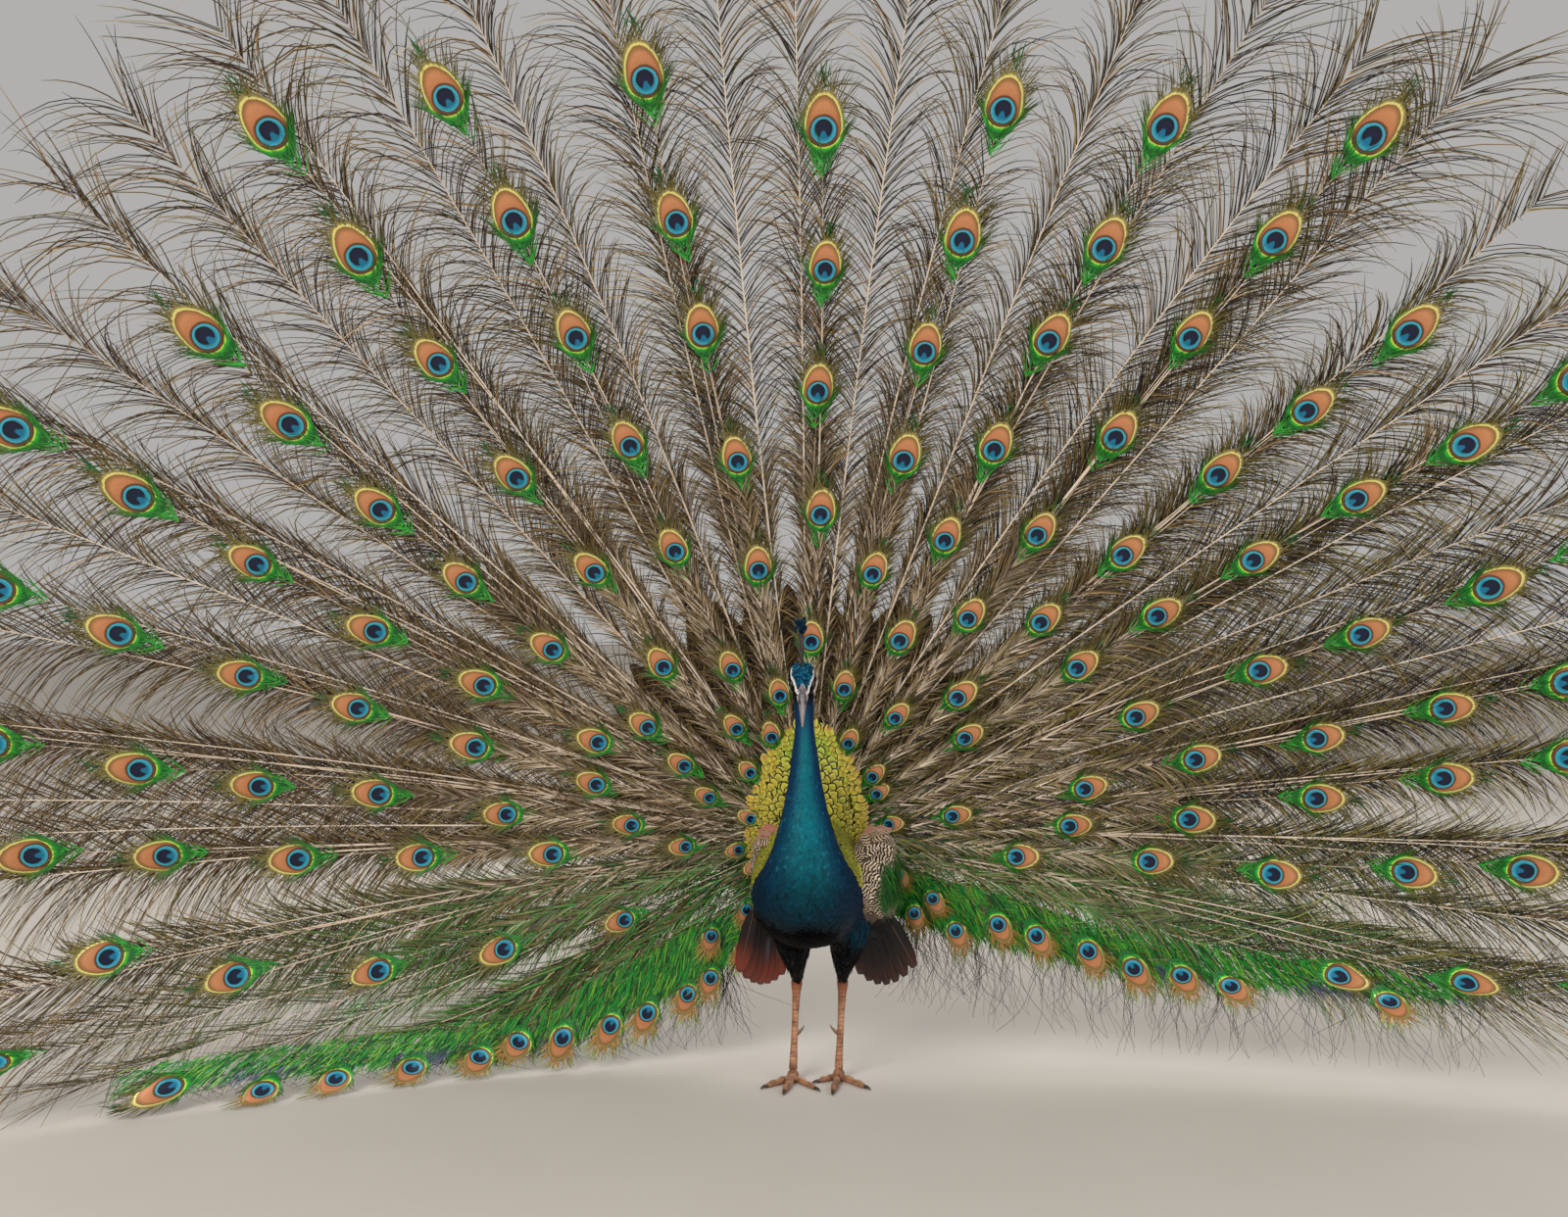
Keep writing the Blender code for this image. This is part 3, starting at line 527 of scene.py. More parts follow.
length = length * (1 - 0.40 * braid)
K = 6
q = np.linspace(0, 1, K)
phi0 = np.arctan2(tan[:, 1], tan[:, 0])
bendy = RNG.uniform(0.7, 1.5, NB)[:, None]
head = phi0[:, None] + bside[:, None] * (a0[:, None] + (a1 - a0)[:, None] * (q[None] ** bendy))
mid = (head[:, 1:] + head[:, :-1]) / 2
seg = (length / (K - 1))[:, None]
du, dv = np.cos(mid) * seg, np.sin(mid) * seg
U = np.concatenate([p0[:, :1], p0[:, :1] + np.cumsum(du, 1)], 1)
V = np.concatenate([p0[:, 1:], p0[:, 1:] + np.cumsum(dv, 1)], 1)
sagged = RNG.uniform(0.6, 3.0, NB) * (1 + 0.5 * (theta_b < -20) * (r_b > 0.8))
V = V - sagged[:, None] * (q[None] * length[:, None]) ** 2
tdir = np.stack([np.gradient(U, axis=1), np.gradient(V, axis=1)], -1)
tdir = unit(tdir)
n2 = np.stack([-tdir[..., 1], tdir[..., 0]], -1)
half = np.interp(R, [0.1, 0.5, 1.3], [0.00050, 0.00064, 0.00078]) * RNG.uniform(0.65, 1.25, NB) * (1 + 0.45 * braid)
half = half[:, None] * np.array([1.0, 0.98, 0.90, 0.78, 0.60, 0.25])[None]
W = f_w[bf][:, None] + RNG.uniform(-0.0020, 0.0030, NB)[:, None] + (RNG.uniform(-0.008, 0.010, NB) + 0.004 * tuft)[:, None] * q[None] ** 1.5
W = W + (braid * RNG.uniform(0.001, 0.012, NB))[:, None]
W = np.clip(W, 0.0015, front_of(r_b)[:, None] + 0.0052)
tilt = RNG.uniform(-0.8, 0.8, NB)[:, None]
Lp = lay(U - n2[..., 0] * half, V - n2[..., 1] * half, W - tilt * half)
Rp = lay(U + n2[..., 0] * half, V + n2[..., 1] * half, W + tilt * half)
low = np.minimum(Lp[..., 2], Rp[..., 2]).min(1)
ok = low > 0.006

DARK, BROWN, TAN = lin(36, 25, 17), lin(90, 64, 38), lin(172, 138, 92)
OLIVE, GREEN, DEEP = lin(142, 128, 48), lin(44, 142, 44), lin(16, 74, 32)
pick = RNG.random(NB)
# painted light on the barbs: on the bird's left side of the fan more of them take a painted olive-gold sheen where the
# light falls on them, and more of them are darkened; on the bird's right side a painted tan highlight lifts them
# towards brown
right = smoothstep(15, 70, theta_b)
left_tan_highlight = smoothstep(-10, -60, theta_b)
base = np.where(pick[:, None] < 0.62, DARK, np.where(pick[:, None] < 0.90, BROWN, TAN))
base = mixc(base, BROWN, 0.30 * left_tan_highlight)
base = mixc(base, OLIVE * 0.8, np.maximum(right, 0.35) * (RNG.random(NB) < 0.26))
base = mixc(base, DARK * 0.7, right * (RNG.random(NB) < 0.35))
lowgreen = smoothstep(84, 106, np.abs(theta_b + 2)) * smoothstep(1.20, 0.45, r_b)
hubgreen = smoothstep(0.20, 0.08, r_b)
eyegreen = smoothstep(0.050, 0.012, to_tip) * ~fish
greenish = np.clip(0.85 * lowgreen * (RNG.random(NB) < 0.72) + 0.6 * hubgreen * (RNG.random(NB) < 0.6) + 0.45 * eyegreen, 0, 1)
base = mixc(base, np.where(RNG.random(NB)[:, None] < 0.62, GREEN, DEEP), greenish)
# some tips are paler, tan to olive-gold, the barbs' own tone; on the bird's left side they lean further to olive-gold,
# a painted sheen
tipc = np.where(RNG.random(NB)[:, None] < 0.55, base, mixc(base, mixc(TAN, OLIVE, 0.40 + 0.5 * right), 0.65))
colour = mixc(base[:, None], tipc[:, None], np.broadcast_to(q[None] ** 1.5, (NB, K)))
# pale barb roots near the body give the long cream streaks
pale = (braid * (RNG.random(NB) < 0.52) * smoothstep(112, 92, np.abs(theta_b)))[:, None] * np.interp(q, [0, 0.45, 0.9], [0.9, 0.75, 0.1])[None]
colour = mixc(colour, mixc(CREAM, TAN, RNG.random(NB) * 0.7)[:, None], pale)
ruv = fan_uv(p0[:, 0], p0[:, 1])

TRAIN_BARB = plumage("train_barb", rough=0.42, metal=0.15, spec=0.5, grain=900.0, vary=0.30, bump=0.0)
SHAFT = plumage("train_shaft", rough=0.38, spec=0.5, grain=300.0, vary=0.25, bump=0.15)
PIECES = 6
order = np.sort(f_theta[bf][ok])
cuts = order[(np.arange(1, PIECES) * len(order) / PIECES).astype(int)]
sector = np.digitize(f_theta[bf], cuts)
train_pieces = []
for i in range(PIECES):
    m = (sector == i) & ok
    st = strips(Lp[m], Rp[m], ruv[m], colour[m])
    train_pieces.append(build(f"train_barbs_{i + 1}", st[0], st[1], uv=st[2], col=st[3], material=TRAIN_BARB))
    print("piece", i + 1, "triangles", m.sum() * (K - 1) * 2)
print("barbs", NB, "kept", ok.sum())
shafts = build("train_shafts", SHAFTS[0], SHAFTS[1], SHAFTS[2], SHAFTS[3], material=SHAFT)
train_nodes = sorted(x for x in frame["nodes"] if x.startswith("train_"))
lows = [x for x in train_nodes if "skirt" in x]
main = [x for x in train_nodes if "skirt" not in x]
for i, ob in enumerate(train_pieces):
    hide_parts(*main[i::PIECES])
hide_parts(*lows)


# ================================================================ the eyes of the train
def eye_material():
    n = Nodes("train_eye")
    uv = n.add("ShaderNodeSeparateXYZ")
    n.put(uv.inputs[0], n.uv("EyeUV"))
    # EyeUV holds (x + 1) / 3 and (y + 1) / 3, in widths of the yellow ring, y towards the tip
    x = n.math("MULTIPLY_ADD", uv.outputs[0], 3.0, -1.0)
    y = n.math("MULTIPLY_ADD", uv.outputs[1], 3.0, -1.0)
    kind = n.add("ShaderNodeAttribute", attribute_name="half").outputs["Fac"]
    pos = n.position()
    wob = n.math("MULTIPLY_ADD", n.noise(pos, 130.0, 2.0), 0.07, -0.035)

    def radius(cx, cy, up, down):
        dx = n.math("DIVIDE", n.math("SUBTRACT", x, cx), 0.5)
        dy = n.math("SUBTRACT", y, cy)
        above = n.math("MAXIMUM", n.math("DIVIDE", dy, up), 0.0)
        below = n.math("MAXIMUM", n.math("DIVIDE", dy, -down), 0.0)
        dy = n.math("ADD", above, below)
        return n.math("ADD", n.math("SQRT", n.math("ADD", n.math("MULTIPLY", dx, dx), n.math("MULTIPLY", dy, dy))), wob)

    egg = radius(0.0, 0.0, 0.88, 0.50)
    disc = radius(0.0, -0.045, 0.5, 0.5)
    pupil = radius(0.0, -0.010, 0.5, 0.5)
    # fine barb lines that run out from the middle line
    ang = n.math("ARCTAN2", x, n.math("ADD", y, 0.55))
    line = n.math("SINE", n.math("MULTIPLY", ang, 95.0))
    line = n.math("MULTIPLY_ADD", line, 0.06, 1.0)
    grain = n.math("MULTIPLY_ADD", n.noise(pos, 700.0, 3.0, 0.6), 0.5, 0.75)
    line = n.math("MULTIPLY", line, grain)

    green = n.mix(n.step(-0.45, 0.15, y), lin(48, 196, 58), lin(104, 150, 50))
    olive = n.mix(n.step(0.0, 0.8, y), green, lin(158, 142, 84))
    out = n.mix(n.step(1.02, 1.30, egg), olive, n.mix(n.step(-0.1, 0.5, y), lin(18, 104, 36), lin(84, 72, 42)))
    ring = n.mix(n.step(-0.5, 0.4, y), lin(206, 234, 84), lin(232, 222, 132))
    ring_on = n.math("SUBTRACT", 1.0, n.math("MULTIPLY", kind, n.step(-0.05, 0.35, y)))
    c = n.mix(n.math("MULTIPLY", n.step(1.05, 1.00, egg), ring_on), out, ring)
    copper = n.mix(n.step(0.0, 0.8, y), lin(190, 116, 72), lin(212, 146, 98))
    copper = n.mix(n.step(0.70, 0.93, egg), copper, lin(150, 104, 56))
    copper = n.mix(n.math("MULTIPLY", n.step(-0.10, -0.34, y), n.math("SUBTRACT", 1.0, n.math("MULTIPLY", kind, 0.6))), copper, lin(66, 42, 30))
    c = n.mix(n.step(0.955, 0.925, egg), c, copper)
    bronze = n.mix(n.step(0.78, 0.64, disc), lin(120, 74, 40), lin(58, 44, 34))
    c = n.mix(n.step(0.83, 0.77, disc), c, bronze)
    turq = n.mix(n.step(0.40, 0.66, disc), lin(8, 128, 168), lin(64, 182, 204))
    c = n.mix(n.step(0.685, 0.645, disc), c, turq)
    c = n.mix(n.step(0.50, 0.46, pupil), c, n.mix(n.step(0.2, 0.46, pupil), lin(6, 20, 56), lin(3, 10, 34)))
    # the wedge on the pupil's base side
    wa = n.math("ARCTAN2", n.math("ABSOLUTE", x), n.math("SUBTRACT", 0.015, y))
    wedge = n.math("MULTIPLY", n.step(0.52, 0.34, wa), n.step(0.06, 0.18, pupil))
    wedge = n.math("MULTIPLY", wedge, n.step(0.56, 0.48, pupil))
    c = n.mix(n.math("MULTIPLY", wedge, 0.85), c, lin(14, 128, 168))
    c = n.mix(1.0, c, n.mix(1.0, (0, 0, 0), (1, 1, 1)), "MULTIPLY")
    shade = n.add("ShaderNodeMix", data_type="RGBA", blend_type="MULTIPLY")
    n.put(shade.inputs[0], 1.0)
    n.put(shade.inputs[6], c)
    comb = n.add("ShaderNodeCombineColor")
    for i in range(3):
        n.put(comb.inputs[i], line)
    n.put(shade.inputs[7], comb.outputs[0])
    n.bump(line, 0.25, 0.0005)
    return n.done(shade.outputs[2], 0.30, 0.25, 0.55)


EYE_MAT = eye_material()
eyes_all = np.concatenate([EYES, HALF, RING])
e_kind = np.concatenate([np.zeros(len(EYES)), np.ones(len(HALF)), np.full(len(RING), 2)])
NE = len(eyes_all)
e_w = np.concatenate([eye_width(EYES[:, 1]) * RNG.uniform(0.96, 1.05, len(EYES)), eye_width(HALF[:, 1]) * 0.95, np.full(len(RING), 0.0235)])
et = np.radians(eyes_all[:, 0])
EC = np.stack([np.sin(et) * eyes_all[:, 1], np.cos(et) * eyes_all[:, 1]], -1)
# the way an eye points: out along its shaft, and the half-eyed ones turn down to the ground
e_dir = np.stack([np.sin(et), np.cos(et)], -1)
down = np.array([0.0, -1.0])
e_dir = np.where((e_kind == 1)[:, None], unit(e_dir * 0.62 + down[None] * 0.9), e_dir)
turn = RNG.uniform(-0.12, 0.12, NE)
e_dir = np.stack([e_dir[:, 0] * np.cos(turn) - e_dir[:, 1] * np.sin(turn), e_dir[:, 0] * np.sin(turn) + e_dir[:, 1] * np.cos(turn)], -1)
e_side = np.stack([e_dir[:, 1], -e_dir[:, 0]], -1)
e_front = np.where(e_kind == 2, 0.0275, front_of(eyes_all[:, 1]) + 0.0060)
e_front = np.where(e_kind == 1, e_front + 0.004, e_front)


def eye_flat(i, x, y):
    """Flat coordinates of a point of eye i, given in ring widths; the middle of the ring's round end is 0, 0."""
    return EC[i] + (e_side[i] * x[..., None] + e_dir[i] * (y[..., None])) * e_w[i][..., None]


NA, NR = 30, 7
a = np.linspace(0, 2 * np.pi, NA, endpoint=False)
# outline: egg, drawn out to a point on the base side
ex, ey = np.sin(a) * 0.5, np.cos(a)
ey = np.where(ey > 0, ey * 0.88, ey * 0.5)
point = np.clip(-np.cos(a), 0, 1) ** 6
grow = 1.13 + 0.50 * point
rho = np.linspace(0, 1, NR + 1)[1:]
gx = np.concatenate([[0.0], (ex[None] * grow[None] * rho[:, None]).ravel()])
gy = np.concatenate([[0.10], (0.10 * (1 - rho[:, None]) + ey[None] * grow[None] * rho[:, None]).ravel()])
ii = np.arange(NE)[:, None].repeat(len(gx), 1)
jag = 1 + (RNG.uniform(-0.05, 0.05, (NE, len(gx))) * (np.arange(len(gx)) > len(gx) - NA - 1)[None])
X, Y = gx[None] * jag, gy[None] * jag
pf = eye_flat(ii, X, Y)
m2 = (X / 0.56) ** 2 + (np.where(Y > 0, Y / 0.98, Y / 0.56)) ** 2
dome = 0.0035 * np.clip(1 - m2, 0, 1) + 0.0006 - 0.002 * np.clip(m2 - 1, 0, 1.5)
ew = e_front[:, None] + dome + RNG.uniform(-0.03, 0.03, NE)[:, None] * X * e_w[:, None] * 3
co = lay(pf[..., 0], pf[..., 1], ew)
nv = len(gx)
j = np.arange(NA)
tri = np.stack([np.zeros(NA, int), 1 + j, 1 + (j + 1) % NA], -1)
quads = [np.stack([1 + r * NA + j, 1 + (r + 1) * NA + j, 1 + (r + 1) * NA + (j + 1) % NA, 1 + r * NA + (j + 1) % NA], -1) for r in range(NR - 1)]
quads = np.concatenate(quads)
off = (np.arange(NE) * nv)[:, None, None]
cell = int(math.ceil(math.sqrt(NE)))
cx, cy = np.arange(NE) % cell, np.arange(NE) // cell
bx = (cx[:, None] + 0.5 + X * 0.44 / 0.62 * 0.9) / cell
by = (cy[:, None] + 0.5 + (Y - 0.08) * 0.44 / 0.98 * 0.9) / cell
eye_uv = np.stack([(X + 1) / 3, (Y + 1) / 3], -1).reshape(-1, 2)
eyes_ob = build("train_eyes", co.reshape(-1, 3), [(tri[None] + off).reshape(-1, 3), (quads[None] + off).reshape(-1, 4)],
                uv=np.stack([bx, by], -1).reshape(-1, 2), extra_uv={"EyeUV": eye_uv}, material=EYE_MAT)
h = eyes_ob.data.attributes.new("half", "FLOAT", "POINT")
h.data.foreach_set("value", np.repeat((e_kind == 1).astype(np.float32), nv))

# ---------------------------------------------------------------- the loose barbs round each eye
FR = 130
fi = np.repeat(np.arange(NE), FR)
NFR = len(fi)
fa = RNG.uniform(-np.pi, np.pi, NFR)          # 0 is the tip side
small = e_kind[fi] == 2
bx0, by0 = np.sin(fa) * 0.5, np.cos(fa)
by0 = np.where(by0 > 0, by0 * 0.88, by0 * 0.5)
basep = np.clip(-np.cos(fa), 0, 1) ** 6
k0 = RNG.uniform(0.97, 1.20, NFR) * (1 + 0.32 * basep)
x0, y0 = bx0 * k0, by0 * k0
side = np.sign(x0 + 1e-9)
nrm = np.stack([np.sin(fa), np.cos(fa)], -1)
lean = RNG.uniform(0.15, 0.60, NFR)
dirv = np.stack([nrm[:, 0] * lean + 0.10 * side, 0.85 + nrm[:, 1] * lean * 0.4], -1)
dirv = np.where((np.abs(fa) < 0.5)[:, None], np.stack([RNG.uniform(-0.5, 0.5, NFR), np.ones(NFR)], -1), dirv)
half_eye = (e_kind[fi] == 1)
dirv = unit(dirv)
flen = RNG.uniform(0.22, 0.85, NFR) * np.where(small, 0.45, 1.0) * np.where(np.abs(fa) < 1.2, 1.0, 0.85)
flen = np.where(half_eye & (np.abs(fa) > 1.4), flen * 0.6, flen)
K2 = 4
q2 = np.linspace(0, 1, K2)
bend = RNG.uniform(0.05, 0.30, NFR) * side
hx = x0[:, None] + dirv[:, :1] * q2[None] * flen[:, None] + bend[:, None] * (q2[None] ** 2) * flen[:, None]
hy = y0[:, None] + dirv[:, 1:] * q2[None] * flen[:, None]
fi2 = fi[:, None].repeat(K2, 1)
P = eye_flat(fi2, hx, hy)
T = unit(np.stack([np.gradient(P[..., 0], axis=1), np.gradient(P[..., 1], axis=1)], -1))
Nn = np.stack([-T[..., 1], T[..., 0]], -1)
half = RNG.uniform(0.0004, 0.0008, NFR)[:, None] * np.array([1, 0.95, 0.75, 0.25])[None] * np.where(small, 0.6, 1)[:, None]
FW = e_front[fi][:, None] + RNG.uniform(-0.0015, 0.0025, NFR)[:, None] + RNG.uniform(-0.003, 0.005, NFR)[:, None] * q2[None]
Lf = lay(P[..., 0] - Nn[..., 0] * half, P[..., 1] - Nn[..., 1] * half, FW)
Rf = lay(P[..., 0] + Nn[..., 0] * half, P[..., 1] + Nn[..., 1] * half, FW + 0.0004)
rootc = mixc(mixc(lin(24, 150, 46), lin(66, 140, 40), RNG.random(NFR)), mixc(lin(112, 108, 46), lin(150, 134, 66), RNG.random(NFR)), smoothstep(-0.35, 0.35, y0))
tipc = mixc(lin(22, 84, 34), mixc(lin(96, 84, 44), lin(66, 50, 38), RNG.random(NFR)), smoothstep(-0.5, 0.2, y0 + flen * 0.3))
colour = mixc(rootc[:, None], tipc[:, None], np.broadcast_to(q2[None], (NFR, K2)))
colour = np.where((half_eye & (np.abs(fa) < 1.3))[:, None, None], mixc(lin(196, 128, 70), lin(96, 150, 40), np.broadcast_to(q2[None], (NFR, K2))), colour)

# a dark green tuft past the tip
TU = 12
ti = np.repeat(np.arange(NE)[e_kind == 0], TU)
NT = len(ti)
tx = RNG.normal(0, 0.10, NT)
ty = RNG.uniform(0.95, 1.35, NT)
ta = RNG.normal(0, 0.35, NT)
tl = RNG.uniform(0.25, 0.5, NT)
hx = tx[:, None] + np.sin(ta)[:, None] * q2[None] * tl[:, None]
hy = ty[:, None] + np.cos(ta)[:, None] * q2[None] * tl[:, None]
ti2 = ti[:, None].repeat(K2, 1)
P2 = eye_flat(ti2, hx, hy)
T2 = unit(np.stack([np.gradient(P2[..., 0], axis=1), np.gradient(P2[..., 1], axis=1)], -1))
N2 = np.stack([-T2[..., 1], T2[..., 0]], -1)
half2 = RNG.uniform(0.0006, 0.0010, NT)[:, None] * np.array([1, 0.95, 0.75, 0.25])[None]
TW = e_front[ti][:, None] - 0.003 + RNG.uniform(0, 0.003, NT)[:, None] + 0 * q2[None]
Lt = lay(P2[..., 0] - N2[..., 0] * half2, P2[..., 1] - N2[..., 1] * half2, TW)
Rt = lay(P2[..., 0] + N2[..., 0] * half2, P2[..., 1] + N2[..., 1] * half2, TW + 0.0003)
ct = mixc(lin(18, 78, 34), lin(30, 120, 44), RNG.random(NT))[:, None].repeat(K2, 1)
# and a bright green point of barbs on the base side, spreading from the shaft
VB = 22
vi = np.repeat(np.arange(NE)[e_kind != 1], VB)
NV = len(vi)
vs = np.where(RNG.random(NV) < 0.5, -1.0, 1.0)
vy = -RNG.uniform(0.55, 1.30, NV)
vx1, vy1 = vs * RNG.uniform(0.10, 0.34, NV) * (1 + 0.9 * np.clip(-vy - 0.5, 0, 1)), vy + RNG.uniform(0.40, 0.80, NV)
hx = vx1[:, None] * q2[None] ** 0.85
hy = vy[:, None] + (vy1 - vy)[:, None] * q2[None] ** 1.15
vi2 = vi[:, None].repeat(K2, 1)
P4 = eye_flat(vi2, hx, hy)
T4 = unit(np.stack([np.gradient(P4[..., 0], axis=1), np.gradient(P4[..., 1], axis=1)], -1))
N4 = np.stack([-T4[..., 1], T4[..., 0]], -1)
half4 = RNG.uniform(0.0005, 0.0010, NV)[:, None] * np.array([1, 1.0, 0.8, 0.25])[None]
VW = e_front[vi][:, None] - 0.0012 + RNG.uniform(-0.001, 0.001, NV)[:, None] + 0 * q2[None]
Lv = lay(P4[..., 0] - N4[..., 0] * half4, P4[..., 1] - N4[..., 1] * half4, VW)
Rv = lay(P4[..., 0] + N4[..., 0] * half4, P4[..., 1] + N4[..., 1] * half4, VW + 0.0003)
cv0 = mixc(lin(20, 120, 42), lin(60, 196, 62), RNG.random(NV))
cv = mixc(cv0[:, None], mixc(lin(84, 150, 44), lin(30, 110, 40), RNG.random(NV))[:, None], np.broadcast_to(q2[None], (NV, K2)))
fringe = merge([strips(Lv, Rv, fan_uv(P4[:, 0, 0], P4[:, 0, 1]), cv), strips(Lf, Rf, fan_uv(P[:, 0, 0], P[:, 0, 1]), colour), strips(Lt, Rt, fan_uv(P2[:, 0, 0], P2[:, 0, 1]), ct)])
FRINGE = plumage("train_fringe", rough=0.40, metal=0.2, spec=0.5, grain=900.0, vary=0.25, bump=0.0)
build("train_eye_fringe", fringe[0], fringe[1], fringe[2], fringe[3], material=FRINGE)

# ---------------------------------------------------------------- the green lower edges, and the bare filaments under them
sw = []
for sd in (-1, 1):
    n_sw = 4200
    qq = RNG.random(n_sw) ** 0.8
    th, rr = skirt_edge(qq, sd)
    t0 = np.radians(th)
    edge = np.stack([np.sin(t0) * rr, np.cos(t0) * rr], -1)
    e2 = np.array(skirt_edge(np.clip(qq - 0.01, 0, 1), sd)).T
    e3 = np.radians(e2[:, 0])
    ahead = unit(np.stack([np.sin(e3) * e2[:, 1], np.cos(e3) * e2[:, 1]], -1) - edge)     # outward along the edge
    inward = np.stack([-ahead[:, 1], ahead[:, 0]], -1)
    inward *= np.sign((inward * -edge).sum(1, keepdims=True) + 1e-9)
    depth = RNG.random(n_sw) ** 1.3 * np.interp(rr, [0.15, 0.3, 0.9, 1.1], [0.060, 0.066, 0.058, 0.040])
    root = edge + inward * (depth + 0.012)[:, None]
    ang = RNG.uniform(0.35, 1.05, n_sw)
    dr = unit(ahead * np.cos(ang)[:, None] - inward * np.sin(ang)[:, None])
    ln = RNG.uniform(0.018, 0.034, n_sw)
    qk = q2[None, :, None]
    P3 = root[:, None] + dr[:, None] * qk * ln[:, None, None] + (down[None, None] * (qk ** 2)) * (ln * 0.25)[:, None, None]
    T3 = unit(np.gradient(P3, axis=1))
    N3 = np.stack([-T3[..., 1], T3[..., 0]], -1)
    hw = RNG.uniform(0.0006, 0.0013, n_sw)[:, None] * np.array([0.9, 1.0, 0.8, 0.25])[None]
    w3 = front_of(rr)[:, None] + 0.004 + RNG.uniform(-0.003, 0.003, n_sw)[:, None] + 0 * q2[None]
    L3 = lay(P3[..., 0] - N3[..., 0] * hw, P3[..., 1] - N3[..., 1] * hw, w3)
    R3 = lay(P3[..., 0] + N3[..., 0] * hw, P3[..., 1] + N3[..., 1] * hw, w3 + 0.0004)
    pk = RNG.random(n_sw)
    cc = np.where(pk[:, None] < 0.50, lin(30, 146, 44), np.where(pk[:, None] < 0.78, lin(12, 78, 32), lin(112, 176, 46)))
    patch = (np.sin(rr * 31.0 + sd) > 0.45) & (rr > 0.46) & (depth < 0.014)
    cc = np.where(patch[:, None], mixc(lin(104, 104, 128), lin(58, 84, 104), RNG.random(n_sw)), cc)
    cc = cc[:, None] * np.array([0.75, 1.0, 1.0, 0.8])[None, :, None]
    sw.append(strips(L3, R3, fan_uv(P3[:, 0, 0], P3[:, 0, 1]), cc))
    # filaments
    nf = 330
    qq = RNG.random(nf)
    th, rr = skirt_edge(qq, sd)
    start = lay(np.sin(np.radians(th)) * rr, np.cos(np.radians(th)) * rr, front_of(rr))
    kk = 9
    qf = np.linspace(0, 1, kk)
    room = np.maximum(start[:, 2] - 0.006, 0.004)
    ln = RNG.uniform(0.06, 0.150, nf)
    fall = np.minimum(ln, room * RNG.uniform(0.85, 1.0, nf))
    curl = RNG.normal(0, 0.034, nf)
    wob = RNG.uniform(0, 6.3, nf)
    C = np.repeat(start[:, None], kk, 1)
    C[..., 2] += 0.006 - fall[:, None] * qf[None] - 0.0
    C[..., 2] = np.maximum(C[..., 2], 0.004)
    C[..., 0] += sd * 0.010 * qf[None] + curl[:, None] * qf[None] ** 2 + 0.004 * np.sin(wob[:, None] + qf[None] * 9)
    C[..., 1] += RNG.uniform(-0.012, 0.012, nf)[:, None] * qf[None]
    tn = unit(np.gradient(C, axis=1))
    sd_v = unit(np.cross(tn, np.array([0.0, 1.0, 0.0])))
    fr_v = unit(np.cross(sd_v, tn))
    rad = (RNG.uniform(0.0004, 0.00065, nf))[:, None] * np.linspace(1, 0.45, kk)[None]
    cf = mixc(lin(34, 26, 22), lin(70, 54, 40), RNG.random(nf))[:, None].repeat(kk, 1)
    ruv = fan_uv(np.sin(np.radians(th)) * rr, np.cos(np.radians(th)) * rr)
    sw.append(tubes(C, sd_v * rad[..., None], fr_v * rad[..., None], cf, ruv, 3))
lower = merge(sw)
build("train_lower_edge", lower[0], lower[1], lower[2], lower[3], material=FRINGE)


# ================================================================ the body's shape
BODY_YAW = math.radians(-3.0)
RZ = rot_z(BODY_YAW)
SPINE_X = -0.011
SPINE = np.array([
    (0.128, 0.352, 0.036, 0.040, 0.044), (0.105, 0.345, 0.056, 0.058, 0.062), (0.062, 0.330, 0.076, 0.078, 0.084),
    (0.012, 0.318, 0.086, 0.086, 0.096), (-0.040, 0.315, 0.088, 0.084, 0.096), (-0.083, 0.326, 0.083, 0.076, 0.084),
    (-0.110, 0.350, 0.069, 0.062, 0.064), (-0.117, 0.388, 0.050, 0.046, 0.047), (-0.108, 0.430, 0.037, 0.036, 0.036),
    (-0.092, 0.472, 0.028, 0.029, 0.029), (-0.076, 0.516, 0.0215, 0.0235, 0.0235), (-0.065, 0.556, 0.016, 0.019, 0.019),
    (-0.066, 0.592, 0.0162, 0.0175, 0.0175), (-0.080, 0.626, 0.0168, 0.0165, 0.0165)])


def catmull(rows, t):
    rows = np.asarray(rows, float)
    t = np.asarray(t, float)
    i = np.clip(np.floor(t).astype(int), 0, len(rows) - 2)
    u = (t - i)[..., None]
    a, b, c, d = (rows[np.clip(i + j, 0, len(rows) - 1)] for j in (-1, 0, 1, 2))
    return 0.5 * (2 * b + (c - a) * u + (2 * a - 5 * b + 4 * c - d) * u * u + (3 * b - a - 3 * c + d) * u ** 3)


def spine_at(t):
    k = catmull(SPINE, t)
    p = np.stack([np.full_like(k[..., 0], SPINE_X), k[..., 0], k[..., 1]], -1) @ RZ.T
    p[..., 0] += -0.006 * np.maximum(0, np.asarray(t, float) - 6) / 6
    return p + ORIGIN, k[..., 2], k[..., 3], k[..., 4]


def sections(centre, tangent, half_w, up, down, n, power, side):
    """Egg-shaped rings (m, n, 3) across the tangents."""
    t = unit(tangent)
    x = unit(side - t * (t @ side)[:, None])
    z = unit(np.cross(x, t))
    a = 2 * np.pi * (np.arange(n) + 0.5) / n
    c, s = np.cos(a), np.sin(a)
    cx = np.sign(c) * np.abs(c) ** (2 / power)
    sz = np.sign(s) * np.abs(s) ** (2 / power)
    v = np.where(s[None] > 0, up[:, None], down[:, None]) * sz[None]
    return centre[:, None] + x[:, None] * (cx[None] * half_w[:, None])[..., None] + z[:, None] * v[..., None]


